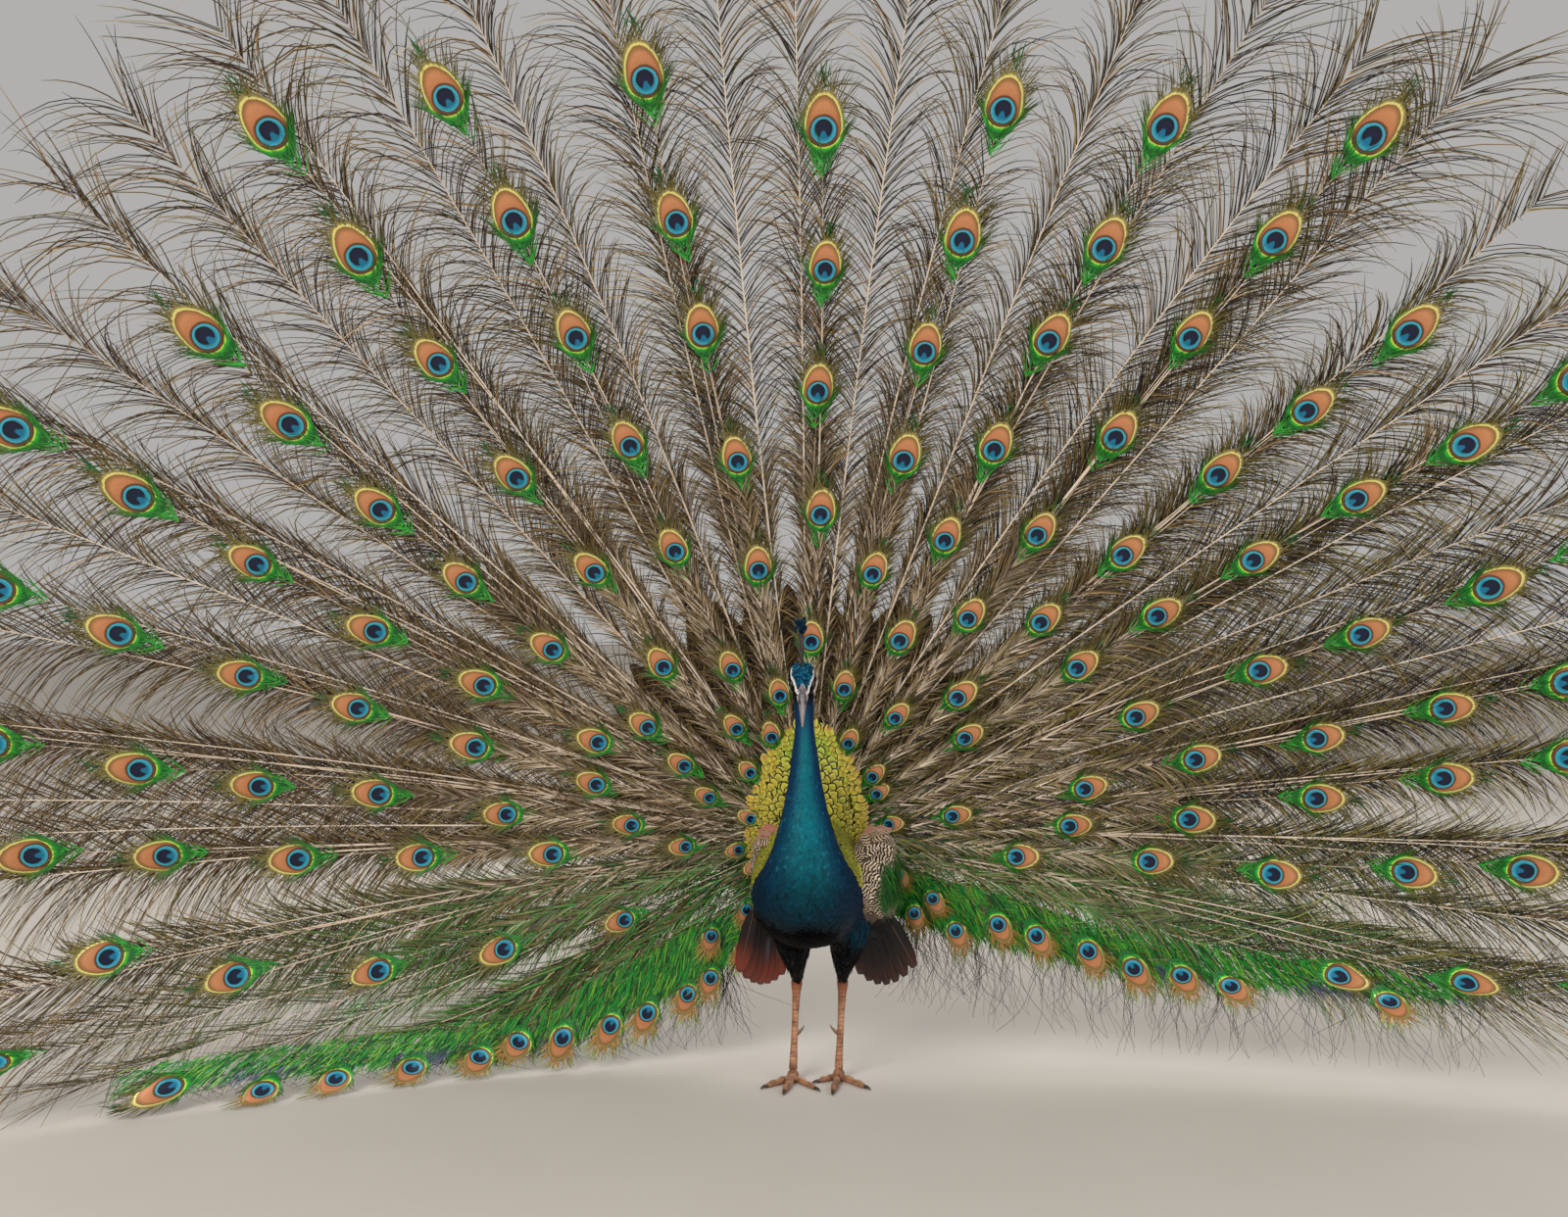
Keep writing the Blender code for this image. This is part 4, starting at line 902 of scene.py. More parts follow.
def loft(rings):
    m, n, _ = rings.shape
    i = np.arange(m - 1)[:, None] * n
    j = np.arange(n)[None]
    quads = np.stack([i + j, i + (j + 1) % n, i + n + (j + 1) % n, i + n + j], -1).reshape(-1, 4)
    caps = np.stack([rings[0].mean(0), rings[-1].mean(0)])
    co = np.concatenate([rings.reshape(-1, 3), caps])
    j = j[0]
    c0 = np.stack([(j + 1) % n, j, np.full(n, m * n)], -1)
    c1 = np.stack([(m - 1) * n + j, (m - 1) * n + (j + 1) % n, np.full(n, m * n + 1)], -1)
    return co, [quads, c0, c1]


t = np.linspace(0, 12.9, 160)
sc, sw_, su, sd_ = spine_at(t)
stan = unit(np.gradient(sc, axis=0))
spine_rings = sections(sc, stan, sw_, su, sd_, 72, 2.15, RZ @ np.array([-1.0, 0, 0]))
SHAPES = [("spine", loft(spine_rings))]

HEAD_PITCH = math.radians(60.0)
HD = np.array([0, -math.cos(HEAD_PITCH), -math.sin(HEAD_PITCH)])
HU = np.array([0, -math.sin(HEAD_PITCH), math.cos(HEAD_PITCH)])
HX = np.array([1.0, 0, 0])
SKULL = np.array([-0.023, -0.093, 0.6285]) + ORIGIN


def head_at(along, up=0.0, side=0.0):
    along, up, side = np.broadcast_arrays(np.asarray(along, float), np.asarray(up, float), np.asarray(side, float))
    return SKULL + HD * along[..., None] + HU * up[..., None] + HX * side[..., None]


def in_head(p):
    d = p - SKULL
    return d @ HD, d @ HU, d @ HX


SKULL_ROWS = np.array([
    (-0.0285, -0.0010, 0.0085, 0.0080, 0.0080), (-0.0235, 0.0, 0.0150, 0.0140, 0.0150), (-0.0140, 0.0010, 0.0195, 0.0185, 0.0190),
    (-0.0020, 0.0010, 0.0208, 0.0195, 0.0195), (0.0090, -0.0005, 0.0195, 0.0168, 0.0165), (0.0180, -0.0020, 0.0155, 0.0130, 0.0120),
    (0.0255, -0.0035, 0.0105, 0.0090, 0.0082)])
r = catmull(SKULL_ROWS, np.linspace(0, 6, 40))
head_rings = sections(head_at(r[:, 0], r[:, 1]), np.repeat(HD[None], 40, 0), r[:, 2], r[:, 3], r[:, 4], 48, 2.1, -HX)
SHAPES.append(("head", loft(head_rings)))

HOCK_X, HOCK_Y, HOCK_Z = (-0.030, 0.042), 0.046, 0.143
for i, tag in enumerate(("right", "left")):
    sg, hx = (-1, 1)[i], HOCK_X[i]
    rows = np.array([
        (hx + sg * 0.006, -0.030, 0.300, 0.040), (hx + sg * 0.006, -0.022, 0.262, 0.038), (hx + sg * 0.005, 0.002, 0.222, 0.031),
        (hx + sg * 0.002, 0.026, 0.186, 0.020), (hx, 0.041, 0.160, 0.0125), (hx, HOCK_Y - 0.001, HOCK_Z + 0.005, 0.0100)])
    k = catmull(rows, np.linspace(0, 5, 50))
    c = k[:, :3] + ORIGIN
    SHAPES.append((f"thigh_{tag}", loft(sections(c, np.gradient(c, axis=0), k[:, 3], k[:, 3] * 1.25, k[:, 3] * 1.25, 36, 2.0, np.array([1, 0.02, 0.03])))))


def node_arrays(name):
    me = frame["nodes"][name].data
    me.calc_loop_triangles()
    co = np.empty(len(me.vertices) * 3, np.float32)
    me.vertices.foreach_get("co", co)
    tri = np.empty(len(me.loop_triangles) * 3, np.int32)
    me.loop_triangles.foreach_get("vertices", tri)
    return co.reshape(-1, 3).astype(float), tri.reshape(-1, 3)


for name in ("vent", "tail_root", "back", "wing_right", "wing_left"):
    co, tri = node_arrays(name)
    SHAPES.append((name, (co, [tri])))


def tree_of(co, faces):
    polys = [list(map(int, q)) for f in faces for q in f]
    return BVHTree.FromPolygons([tuple(c) for c in co], polys)


TREES = {name: tree_of(*shape) for name, shape in SHAPES}


def remeshed(parts, voxel):
    """One closed surface round several overlapping ones, as (vertices, quads)."""
    co, faces, at = [], [], 0
    for c, fs in parts:
        co.append(c)
        faces += [f + at for f in fs]
        at += len(c)
    ob = build("tmp_union", np.concatenate(co), faces, ride=False)
    m = ob.modifiers.new("remesh", "REMESH")
    m.mode = "VOXEL"
    m.voxel_size = voxel
    me = bpy.data.meshes.new_from_object(ob.evaluated_get(bpy.context.evaluated_depsgraph_get()))
    out = np.empty(len(me.vertices) * 3, np.float32)
    me.vertices.foreach_get("co", out)
    idx = np.empty(len(me.loops), np.int32)
    me.loops.foreach_get("vertex_index", idx)
    bpy.data.objects.remove(ob, do_unlink=True)
    bpy.data.meshes.remove(me)
    return out.reshape(-1, 3).astype(float), idx.reshape(-1, 4)


def neighbours(quads, nv):
    e = np.concatenate([quads[:, [0, 1]], quads[:, [1, 2]], quads[:, [2, 3]], quads[:, [3, 0]]])
    e = np.concatenate([e, e[:, ::-1]])
    e = e[np.argsort(e[:, 0], kind="stable")]
    count = np.bincount(e[:, 0], minlength=nv)
    return e, count


def relax(co, quads, times, amount=0.5):
    e, count = neighbours(quads, len(co))
    for _ in range(times):
        s = np.stack([np.bincount(e[:, 0], co[e[:, 1], i], len(co)) for i in range(3)], -1)
        co = co * (1 - amount) + amount * s / np.maximum(count, 1)[:, None]
    return co


def normals_of(co, quads):
    q = co[quads]
    fn = np.cross(q[:, 2] - q[:, 0], q[:, 3] - q[:, 1])
    n = np.stack([sum(np.bincount(quads[:, j], fn[:, i], len(co)) for j in range(4)) for i in range(3)], -1)
    return unit(n), fn


skin_co, skin_q = remeshed([s for _, s in SHAPES], 0.0024)
skin_co = relax(skin_co, skin_q, 7)
NAMES = [n for n, _ in SHAPES]


def label(points):
    """Index of the shape whose surface is nearest."""
    best = np.full(len(points), 9e9)
    which = np.zeros(len(points), int)
    for i, name in enumerate(NAMES):
        tree = TREES[name]
        d = np.array([(tree.find_nearest(tuple(p), 0.02)[3] or 1.0) for p in points])
        m = d < best - (0.0006 if i else 0)
        best[m], which[m] = d[m], i
    return which


skin_label = label(skin_co)
nrm, _ = normals_of(skin_co, skin_q)
cuts = np.where(skin_label == 1, 0.0009, np.where(skin_label >= 6, 0.0012, 0.0022))
tn = in_head(skin_co)
near_head = np.exp(-np.maximum(0, np.linalg.norm(skin_co - SKULL, axis=1) - 0.03) / 0.06)
cuts = cuts * (1 - 0.6 * near_head)
skin_co = skin_co - nrm * cuts[:, None]
skin_co = relax(skin_co, skin_q, 1)
# the nape runs smoothly from the head into the neck
nape = np.exp(-(np.linalg.norm(skin_co - (-0.023, 0.064, 0.628), axis=1) / 0.017) ** 2)[:, None]
for _ in range(8):
    skin_co = skin_co + nape * (relax(skin_co, skin_q, 6) - skin_co)


# finer faces on the head
def refine(co, quads, mask_v, fix):
    """Splits every quad whose four corners are marked into four, with the border quads left as fans of triangles."""
    bm = bmesh.new()
    vs = [bm.verts.new(c) for c in co]
    for q in quads:
        bm.faces.new([vs[i] for i in q])
    bm.verts.ensure_lookup_table()
    bm.verts.index_update()
    edges = [e for e in bm.edges if mask_v[e.verts[0].index] and mask_v[e.verts[1].index]]
    bmesh.ops.subdivide_edges(bm, edges=edges, cuts=1, use_grid_fill=True, smooth=0.5)
    bmesh.ops.triangulate(bm, faces=[f for f in bm.faces if len(f.verts) > 4])
    bm.verts.index_update()
    co = np.array([v.co for v in bm.verts])
    quads = np.array([[v.index for v in f.verts] for f in bm.faces if len(f.verts) == 4])
    tris = np.array([[v.index for v in f.verts] for f in bm.faces if len(f.verts) == 3])
    bm.free()
    return co, quads, tris


m = np.linalg.norm(skin_co - SKULL, axis=1) < 0.036
skin_co, skin_q, skin_t = refine(skin_co, skin_q, m, None)
# sockets: the skin dips round each eye
EYE_AT = {tag: head_at(0.0065, 0.0028, sg * 0.0142) for tag, sg in (("right", -1), ("left", 1))}
EYE_R = 0.0060
for tag, c in EYE_AT.items():
    d = skin_co - c
    dist = np.linalg.norm(d, axis=1)
    m = dist < EYE_R * 1.5
    push = smoothstep(EYE_R * 1.5, EYE_R * 0.9, dist) * 0.0026
    skin_co -= HX * (np.sign(c[0] - SKULL[0]) * push)[:, None]
allq = [skin_q, skin_t]
nrm, _ = normals_of(skin_co, skin_q)
bad = np.linalg.norm(nrm, axis=1) < 0.5
nrm[bad] = np.array([0, -1.0, 0])
skin_label = label(skin_co)
print("skin", len(skin_co), len(skin_q), len(skin_t))

# ---------------------------------------------------------------- the body's markings and their painted sheen
T_KEYS = np.linspace(0, 12.9, 258)
T_P = spine_at(T_KEYS)[0]
T_T = unit(np.gradient(T_P, axis=0))
KD = KDTree(len(T_P))
for i, p in enumerate(T_P):
    KD.insert(tuple(p), i)
KD.balance()


def spine_param(points):
    return np.array([KD.find(tuple(p))[1] for p in points])


TEAL, BLUE, NAVY, BLACK = lin(0, 98, 110), lin(3, 50, 84), lin(4, 20, 40), lin(2, 3, 5)


def noise3(p, scale, seed=0.0):
    """Cheap smooth noise, -1 to 1."""
    x, y, z = (p * scale + seed).T
    v = np.sin(x * 1.7 + 1.3 * np.sin(y * 1.1 + z)) + np.sin(y * 2.1 + 1.7 * np.sin(z * 1.3 + x * 0.7)) + np.sin(z * 1.9 + 1.1 * np.sin(x * 1.5 - y))
    return v / 3


def body_colour(p, n, lab):
    """The plumage's colour at a point of the skin, with a painted sheen that follows the way the point faces."""
    i = spine_param(p)
    t = T_KEYS[i]
    front = np.clip(-(n @ (RZ @ np.array([0, 1.0, 0]))), -1, 1)
    sidey = 1 - np.abs(n[:, 0])
    # painted sheen: the neck and breast are teal where they face forward and darker blue towards the sides, their
    # iridescence laid down by the way each point faces
    c = mixc(BLUE, TEAL, smoothstep(0.25, 0.95, sidey) * smoothstep(-0.2, 0.7, front))
    # painted highlight: the forward-facing front of the neck is lifted further towards teal
    c = mixc(c, TEAL * 1.05, 0.35 * smoothstep(9.5, 7.0, t) * smoothstep(0.2, 0.9, front))
    c = mixc(c, lin(2, 44, 92), 0.55 * smoothstep(10.2, 11.6, t))
    c = mixc(c, lin(6, 60, 48), smoothstep(0.1, -0.6, front) * smoothstep(7.5, 5.0, t) * 0.7)
    low = smoothstep(0.302, 0.264, p[:, 2] + 0.008 * noise3(p, 60.0))
    low = low * (1 - 0.7 * smoothstep(0.022, 0.050, p[:, 0]) * smoothstep(0.222, 0.245, p[:, 2]))
    c = mixc(c, NAVY, 0.80 * smoothstep(0.43, 0.29, p[:, 2]))
    c = mixc(c, BLACK, low)
    m = (lab == 2) | (lab == 3)
    c = np.where(m[:, None], mixc(lin(12, 13, 17), lin(22, 18, 18), smoothstep(0.2, 0.15, p[:, 2])), c)
    flank = (lab == 3) * smoothstep(0.046, 0.060, p[:, 0] + 0.004 * noise3(p, 90.0)) * smoothstep(0.216, 0.236, p[:, 2])
    c = mixc(c, lin(3, 44, 62), flank)
    m = (lab == 4) | (lab == 5)
    c = np.where(m[:, None], mixc(lin(52, 44, 40), lin(30, 26, 26), smoothstep(0.16, 0.24, p[:, 1])), c)
    m = lab == 6
    c = np.where(m[:, None], np.where((n[:, 1] > 0.2)[:, None], lin(46, 62, 30), lin(60, 62, 22)), c)
    m = lab >= 7
    c = np.where(m[:, None], lin(74, 62, 52), c)
    c = np.where((lab == 7)[:, None] & (p[:, 2] < 0.27)[:, None], lin(38, 30, 30), c)
    c = np.where((lab == 8)[:, None] & (p[:, 2] < 0.27)[:, None], lin(38, 30, 30), c)
    return c


def face_colour(p, lab):
    """(colour, share) of the head's markings."""
    a, u, s = in_head(p)
    s = np.abs(s)
    crown = mixc(lin(6, 92, 132), lin(4, 40, 92), smoothstep(-0.002, 0.010, -u))
    c = crown
    c = mixc(c, lin(8, 22, 40), smoothstep(-0.006, -0.014, u) * 0.8)
    share = smoothstep(0.048, 0.030, np.linalg.norm(p - SKULL, axis=1))
    jit = 0.0005 * noise3(p, 900.0)
    # black through the eye, from the bill to behind it
    band = smoothstep(0.0088, 0.0074, np.abs(u - 0.0032) + jit) * smoothstep(-0.020, -0.014, a) * smoothstep(0.004, 0.007, s)
    c = mixc(c, lin(10, 10, 14), band)
    lore = smoothstep(0.011, 0.016, a) * smoothstep(0.0035, 0.006, s)
    c = mixc(c, lin(14, 14, 18), lore)
    # white above: from the bill's base, over the eye
    mid = np.interp(a, [-0.020, -0.012, -0.002, 0.009, 0.018, 0.0255], [0.0085, 0.0112, 0.0124, 0.0120, 0.0080, 0.0018])
    half_w = np.interp(a, [-0.012, 0.004, 0.012, 0.018, 0.026], [0.0018, 0.0014, 0.0008, 0.0009, 0.0013])
    upper = smoothstep(1.15, 0.85, (np.abs(u - mid) + jit) / half_w) * smoothstep(-0.0185, -0.0140, a) * smoothstep(0.0045, 0.006, s)
    # white below: a crescent under the eye
    mid = np.interp(a, [-0.012, 0.0, 0.010, 0.018], [-0.0030, -0.0050, -0.0052, -0.0046])
    lower = smoothstep(0.0034, 0.0024, np.abs(u - mid) + jit) * smoothstep(-0.0125, -0.0090, a) * smoothstep(0.020, 0.016, a) * smoothstep(0.006, 0.009, s)
    white = np.clip(upper + lower, 0, 1)
    c = mixc(c, lin(236, 232, 226), white)
    # horn runs back from the bill over the brow, with a pale edge
    width = np.interp(a, [0.0115, 0.0135, 0.018, 0.024], [0.0, 0.0022, 0.0040, 0.0062])
    brow = smoothstep(0.0110, 0.0125, a) * (u > -0.001)
    c = mixc(c, lin(214, 208, 202), brow * smoothstep(width + 0.0008, width, s))
    c = mixc(c, lin(112, 104, 110), brow * smoothstep(width - 0.0002, width - 0.0010, s))
    return c, share, white, band


def marked(p, n, lab):
    c = body_colour(p, n, lab)
    f, share, _, _ = face_colour(p, lab)
    return mixc(c, f, share * np.isin(lab, (0, 1)))


# ---------------------------------------------------------------- the skin's unwrap: one chart for each shape
def chart(p, n, lab):
    """Places on the unwrap, of the charts laid side by side."""
    uv = np.zeros((len(p), 2))
    i = spine_param(p)
    d = p - T_P[i]
    side = RZ @ np.array([1.0, 0, 0])
    x = d @ side
    z = (d * np.cross(side, -T_T[i])).sum(1)
    ang = np.arctan2(x, z) / (2 * np.pi) + 0.5
    m = lab == 0
    uv[m] = np.stack([0.01 + 0.44 * ang, 0.01 + 0.96 * T_KEYS[i] / 13], -1)[m]
    a, u, s = in_head(p)
    m = lab == 1
    uv[m] = np.stack([0.48 + 0.22 * (np.arctan2(s, u) / (2 * np.pi) + 0.5), 0.01 + 0.20 * np.clip((a + 0.03) / 0.06, 0, 1)], -1)[m]
    for k, x0 in ((2, 0.48), (3, 0.60)):
        m = lab == k
        hx = HOCK_X[k - 2]
        uv[m] = np.stack([x0 + 0.10 * (np.arctan2(p[:, 0] - hx, p[:, 1] - 0.15) / (2 * np.pi) + 0.5), 0.24 + 0.24 * np.clip((p[:, 2] - 0.14) / 0.17, 0, 1)], -1)[m]
    m = (lab == 4) | (lab == 5)
    uv[m] = np.stack([0.73 + 0.24 * (np.arctan2(p[:, 0], p[:, 2] - 0.29) / (2 * np.pi) + 0.5), 0.01 + 0.22 * np.clip((p[:, 1] - 0.15) / 0.2, 0, 1)], -1)[m]
    m = lab == 6
    back = (n[:, 1] > 0) * 0.26
    uv[m] = np.stack([0.48 + back + 0.22 * np.clip((p[:, 0] + 0.12) / 0.22, 0, 1), 0.50 + 0.24 * np.clip((p[:, 2] - 0.28) / 0.28, 0, 1)], -1)[m]
    for k, y0 in ((7, 0.76), (8, 0.88)):
        m = lab == k
        inner = ((n[:, 0] > 0) == (k == 7)) * 0.26
        uv[m] = np.stack([0.48 + inner + 0.22 * np.clip((p[:, 1] - 0.04) / 0.22, 0, 1), y0 + 0.10 * np.clip((p[:, 2] - 0.2) / 0.22, 0, 1)], -1)[m]
    return uv


skin_uv = chart(skin_co, nrm, skin_label)
# per corner, so that a chart that closes on itself has no stretched face
corner_uv = []
for f in allq:
    if not len(f):
        continue
    fu = skin_uv[f]
    first = skin_label[f[:, 0]]
    same = (skin_label[f] == first[:, None]).all(1)
    span = fu.max(1) - fu.min(1)
    tight = same & (span[:, 0] < 0.05) & (span[:, 1] < 0.05)
    fu[~tight] = fu[~tight][:, :1]
    corner_uv.append(fu.reshape(-1, 2))
corner_uv = np.concatenate(corner_uv)
skin_col = marked(skin_co, nrm, skin_label)
SKIN_MAT = plumage("skin_plumage", rough=0.62, metal=0.0, spec=0.18, grain=520.0, vary=0.4, bump=0.5)
skin = build("skin", skin_co, allq, uv=corner_uv, col=skin_col, material=SKIN_MAT)
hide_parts("trunk", "neck_lower", "neck_upper", "head", "thigh_right", "thigh_left", "vent", "tail_root", "back", "wing_right", "wing_left")


# ---------------------------------------------------------------- vanes: small feathers laid on the skin
def vanes(P, N, F, L, W, lift, rows=4, cup=0.22, sink=0.0006, curl=0.0, prof=(0.62, 1.0, 0.9, 0.30)):
    """Feathers as cupped leaves, three across. Returns (n, rows, 3, 3) points."""
    F = unit(F - N * (F * N).sum(-1, keepdims=True))
    S = np.cross(N, F)
    s = np.linspace(0, 1, rows)
    pr = np.interp(s, np.linspace(0, 1, len(prof)), prof)
    L, W, lift = (np.broadcast_to(np.asarray(x, float), (len(P),)) for x in (L, W, lift))
    centre = P[:, None] + F[:, None] * (L[:, None] * s[None])[..., None] + N[:, None] * (-sink + lift[:, None] * s[None] - curl * (L[:, None] * s[None] ** 3))[..., None]
    half = (W[:, None] * 0.5 * pr[None])
    left = centre - S[:, None] * half[..., None]
    right = centre + S[:, None] * half[..., None]
    mid = centre + N[:, None] * (cup * half)[..., None]
    return np.stack([left, mid, right], 2)


def leaf_mesh(V, root_uv, col, patch=0.003):
    """V (n,rows,cols,3), col (n,rows,3) or (n,rows,cols,3)."""
    n, r, c, _ = V.shape
    if col.ndim == 3:
        col = np.repeat(col[:, :, None], c, 2)
    base = (np.arange(n) * r * c)[:, None, None]
    i = (np.arange(r - 1) * c)[None, :, None]
    j = np.arange(c - 1)[None, None]
    quads = np.stack([base + i + j, base + i + j + 1, base + i + c + j + 1, base + i + c + j], -1).reshape(-1, 4)
    local = np.zeros((r, c, 2))
    local[..., 0] = np.linspace(0, patch, c)[None]
    local[..., 1] = np.linspace(0, patch, r)[:, None]
    uv = (root_uv[:, None, None] + local[None]).reshape(-1, 2)
    vane = np.zeros((n, r, c, 2))
    vane[..., 0] = np.linspace(0, 1, c)[None, None]
    vane[..., 1] = np.linspace(0, 1, r)[None, :, None]
    return V.reshape(-1, 3), quads, uv, col.reshape(-1, 3), vane.reshape(-1, 2)


def drape(V, base=0.0005, rise=0.0014):
    """Lifts any point of the vanes that dips under the skin back onto it."""
    r = V.shape[1]
    flat = V.reshape(-1, 3).copy()
    want = np.broadcast_to((base + rise * np.linspace(0, 1, r))[None, :, None], V.shape[:3]).ravel()
    for i, p in enumerate(flat):
        q, n, _, d = SKIN_TREE.find_nearest(tuple(p))
        if q is None:
            continue
        off = (p - np.array(q)) @ np.array(n)
        if off < want[i]:
            flat[i] = np.array(q) + np.array(n) * want[i]
    return flat.reshape(V.shape)


SKIN_TREE = tree_of(skin_co, [skin_q, skin_t])


def scatter(spacing_of, pick, seed):
    """Even random places on the skin's quads where pick is true: (points, normals, labels)."""
    rng = np.random.default_rng(seed)
    q = skin_co[skin_q]
    centre = q.mean(1)
    area = np.linalg.norm(np.cross(q[:, 2] - q[:, 0], q[:, 3] - q[:, 1]), axis=1) / 2
    lab = skin_label[skin_q[:, 0]]
    ok = pick(centre, unit(nrm[skin_q].mean(1)), lab)
    sp = spacing_of(centre, lab)
    want = area / sp ** 2 * 3.2 * ok
    count = np.floor(want + rng.random(len(want))).astype(int)
    idx = np.repeat(np.arange(len(q)), count)
    u, v = rng.random(len(idx))[:, None], rng.random(len(idx))[:, None]
    P = (q[idx, 0] * (1 - u) + q[idx, 1] * u) * (1 - v) + (q[idx, 3] * (1 - u) + q[idx, 2] * u) * v
    n4 = nrm[skin_q[idx]]
    N = unit((n4[:, 0] * (1 - u) + n4[:, 1] * u) * (1 - v) + (n4[:, 3] * (1 - u) + n4[:, 2] * u) * v)
    order = rng.permutation(len(P))
    P, N, idx = P[order], N[order], idx[order]
    gap = sp[idx] * 0.86
    kd = KDTree(len(P))
    for i, p in enumerate(P):
        kd.insert(p, i)
    kd.balance()
    alive = np.ones(len(P), bool)
    for i in range(len(P)):
        if alive[i]:
            for _, j, _ in kd.find_range(P[i], gap[i]):
                if j > i:
                    alive[j] = False
    return P[alive], N[alive], lab[idx[alive]]


def flow(P, N, lab):
    """The lie of the coat: from the bill back over the head, down the neck and along the body to the rump."""
    i = spine_param(P)
    f = -T_T[i]
    head_share = smoothstep(0.040, 0.024, np.linalg.norm(P - SKULL, axis=1))[:, None]
    f = unit(f * (1 - head_share) + (-HD) * head_share)
    low = smoothstep(0.34, 0.26, P[:, 2])[:, None] * (lab == 0)[:, None]
    f = unit(f + np.array([0, 0.0, -0.35]) * low)
    f = np.where(((lab == 2) | (lab == 3))[:, None], np.array([0, 0.25, -1.0]), f)
    f = np.where(((lab == 4) | (lab == 5))[:, None], np.array([0, 1.0, -0.30]), f)
    return f


# the blue plumage
def saddle(P):
    """Share of the shoulders' upper side, where the blue gives way to small gold scales."""
    i = spine_param(P)
    d = P - T_P[i]
    side = RZ @ np.array([1.0, 0, 0])
    x = d @ side
    z = (d * np.cross(side, -T_T[i])).sum(1)
    ang = np.degrees(np.arctan2(np.abs(x), z))
    t = T_KEYS[i]
    return smoothstep(96, 82, ang + 5 * noise3(P, 90.0)) * smoothstep(8.6, 7.8, t + 0.4 * noise3(P, 70.0))


def spacing_blue(c, lab):
    t = T_KEYS[spine_param(c)]
    return np.interp(t, [0, 5, 6.5, 8, 10, 12], [0.0066, 0.0058, 0.0046, 0.0036, 0.0028, 0.0024]) * 1.0


P, N, lab = scatter(spacing_blue, lambda c, n, l: (l == 0) & (np.linalg.norm(c - SKULL, axis=1) > 0.026), 3)
sp = spacing_blue(P, lab)
keep = saddle(P) < 0.5
P, N, lab, sp = P[keep], N[keep], lab[keep], sp[keep]
F = flow(P, N, lab)
F = unit(F + RNG.normal(0, 0.10, F.shape))
L, W = sp * RNG.uniform(2.1, 2.8, len(P)), sp * RNG.uniform(1.35, 1.7, len(P))
V = vanes(P, N, F, L, W, sp * RNG.uniform(0.16, 0.34, len(P)), curl=0.06)
c = marked(P, N, lab)
c = c * (1 + 0.16 * RNG.normal(0, 1, len(P)) + 0.22 * noise3(P, 55.0) * noise3(P, 230.0, 3.0))[:, None].clip(0.45, 1.6)
glint = (RNG.random(len(P)) < 0.05) & (P[:, 2] > 0.36)
c = np.where(glint[:, None], mixc(c, lin(40, 140, 150), 0.28), c)
colour = c[:, None] * np.array([0.45, 0.9, 1.12, 0.85])[None, :, None]
BLUE_MAT = plumage("blue_feathers", rough=0.56, metal=0.12, spec=0.12, sheen=0.0, grain=700.0, vary=0.3, bump=0.15)
m = leaf_mesh(V, chart(P, N, lab), colour)
build("coat_blue", m[0], m[1], m[2], m[3], material=BLUE_MAT)
print("blue feathers", len(P))

# the head: curled scales on the crown, very small feathers on the face
P, N, lab = scatter(lambda c, l: np.full(len(c), 0.0021 * (1)), lambda c, n, l: np.linalg.norm(c - SKULL, axis=1) < 0.040, 5)
a_, u_, s_ = in_head(P)
ok = np.ones(len(P), bool)
for c in EYE_AT.values():
    ok &= np.linalg.norm(P - c, axis=1) > EYE_R * 1.12
ok &= ~((a_ > 0.0115) & (np.abs(s_) < np.interp(a_, [0.0115, 0.0135, 0.018, 0.024], [0.0, 0.0026, 0.0044, 0.0066])) & (u_ > -0.001))
P, N, lab, a_, u_, s_ = P[ok], N[ok], lab[ok], a_[ok], u_[ok], s_[ok]
fc, share, white, band = face_colour(P, lab)
line = np.interp(a_, [-0.020, -0.012, -0.002, 0.009, 0.018, 0.0255], [0.0085, 0.0112, 0.0124, 0.0120, 0.0080, 0.0018])
crown = (u_ > line + 0.0016) & (a_ > -0.022)
F = unit(-HD + RNG.normal(0, 0.14, P.shape))
F = F + np.sign(s_)[:, None] * HX * 0.10 * crown[:, None]
L = np.where(crown, RNG.uniform(0.0030, 0.0044, len(P)), RNG.uniform(0.0026, 0.0038, len(P)))
W = np.where(crown, RNG.uniform(0.0016, 0.0025, len(P)), RNG.uniform(0.0016, 0.0024, len(P)))
lift = np.where(crown, RNG.uniform(0.0010, 0.0026, len(P)), 0.0003)
# the cheek's feathers stand out in a soft pad under the eye
pad = np.exp(-((u_ + 0.0046) / 0.0050) ** 2) * smoothstep(-0.016, -0.006, a_) * smoothstep(0.021, 0.013, a_) * smoothstep(0.006, 0.011, np.abs(s_))
layer = np.where(RNG.random(len(P)) < 0.5, 1.0, RNG.uniform(0.2, 1.0, len(P)))
N = unit(N + np.sign(s_)[:, None] * HX * (1.3 * pad)[:, None])
L, lift = L * (1 + 0.9 * pad), lift + 0.0036 * pad
c = marked(P, N, np.ones(len(P), int))
back = smoothstep(-0.008, -0.020, a_)[:, None]
F = unit(F * (1 - back) - T_T[spine_param(P)] * back)
V = vanes(P, N, F, L, W, lift, cup=0.35, sink=0.0003, curl=0.0)
bright = np.where(crown & (RNG.random(len(P)) < 0.5), 1.6, 1.0)
c = np.where(crown[:, None], mixc(lin(6, 70, 108), lin(30, 140, 166), RNG.random(len(P)) ** 1.4) * np.where(RNG.random(len(P)) < 0.45, 0.22, 1.0)[:, None], c)
c = c * np.where(white > 0.3, RNG.uniform(0.9, 1.05, len(P)), RNG.uniform(0.7, 1.2, len(P)))[:, None]
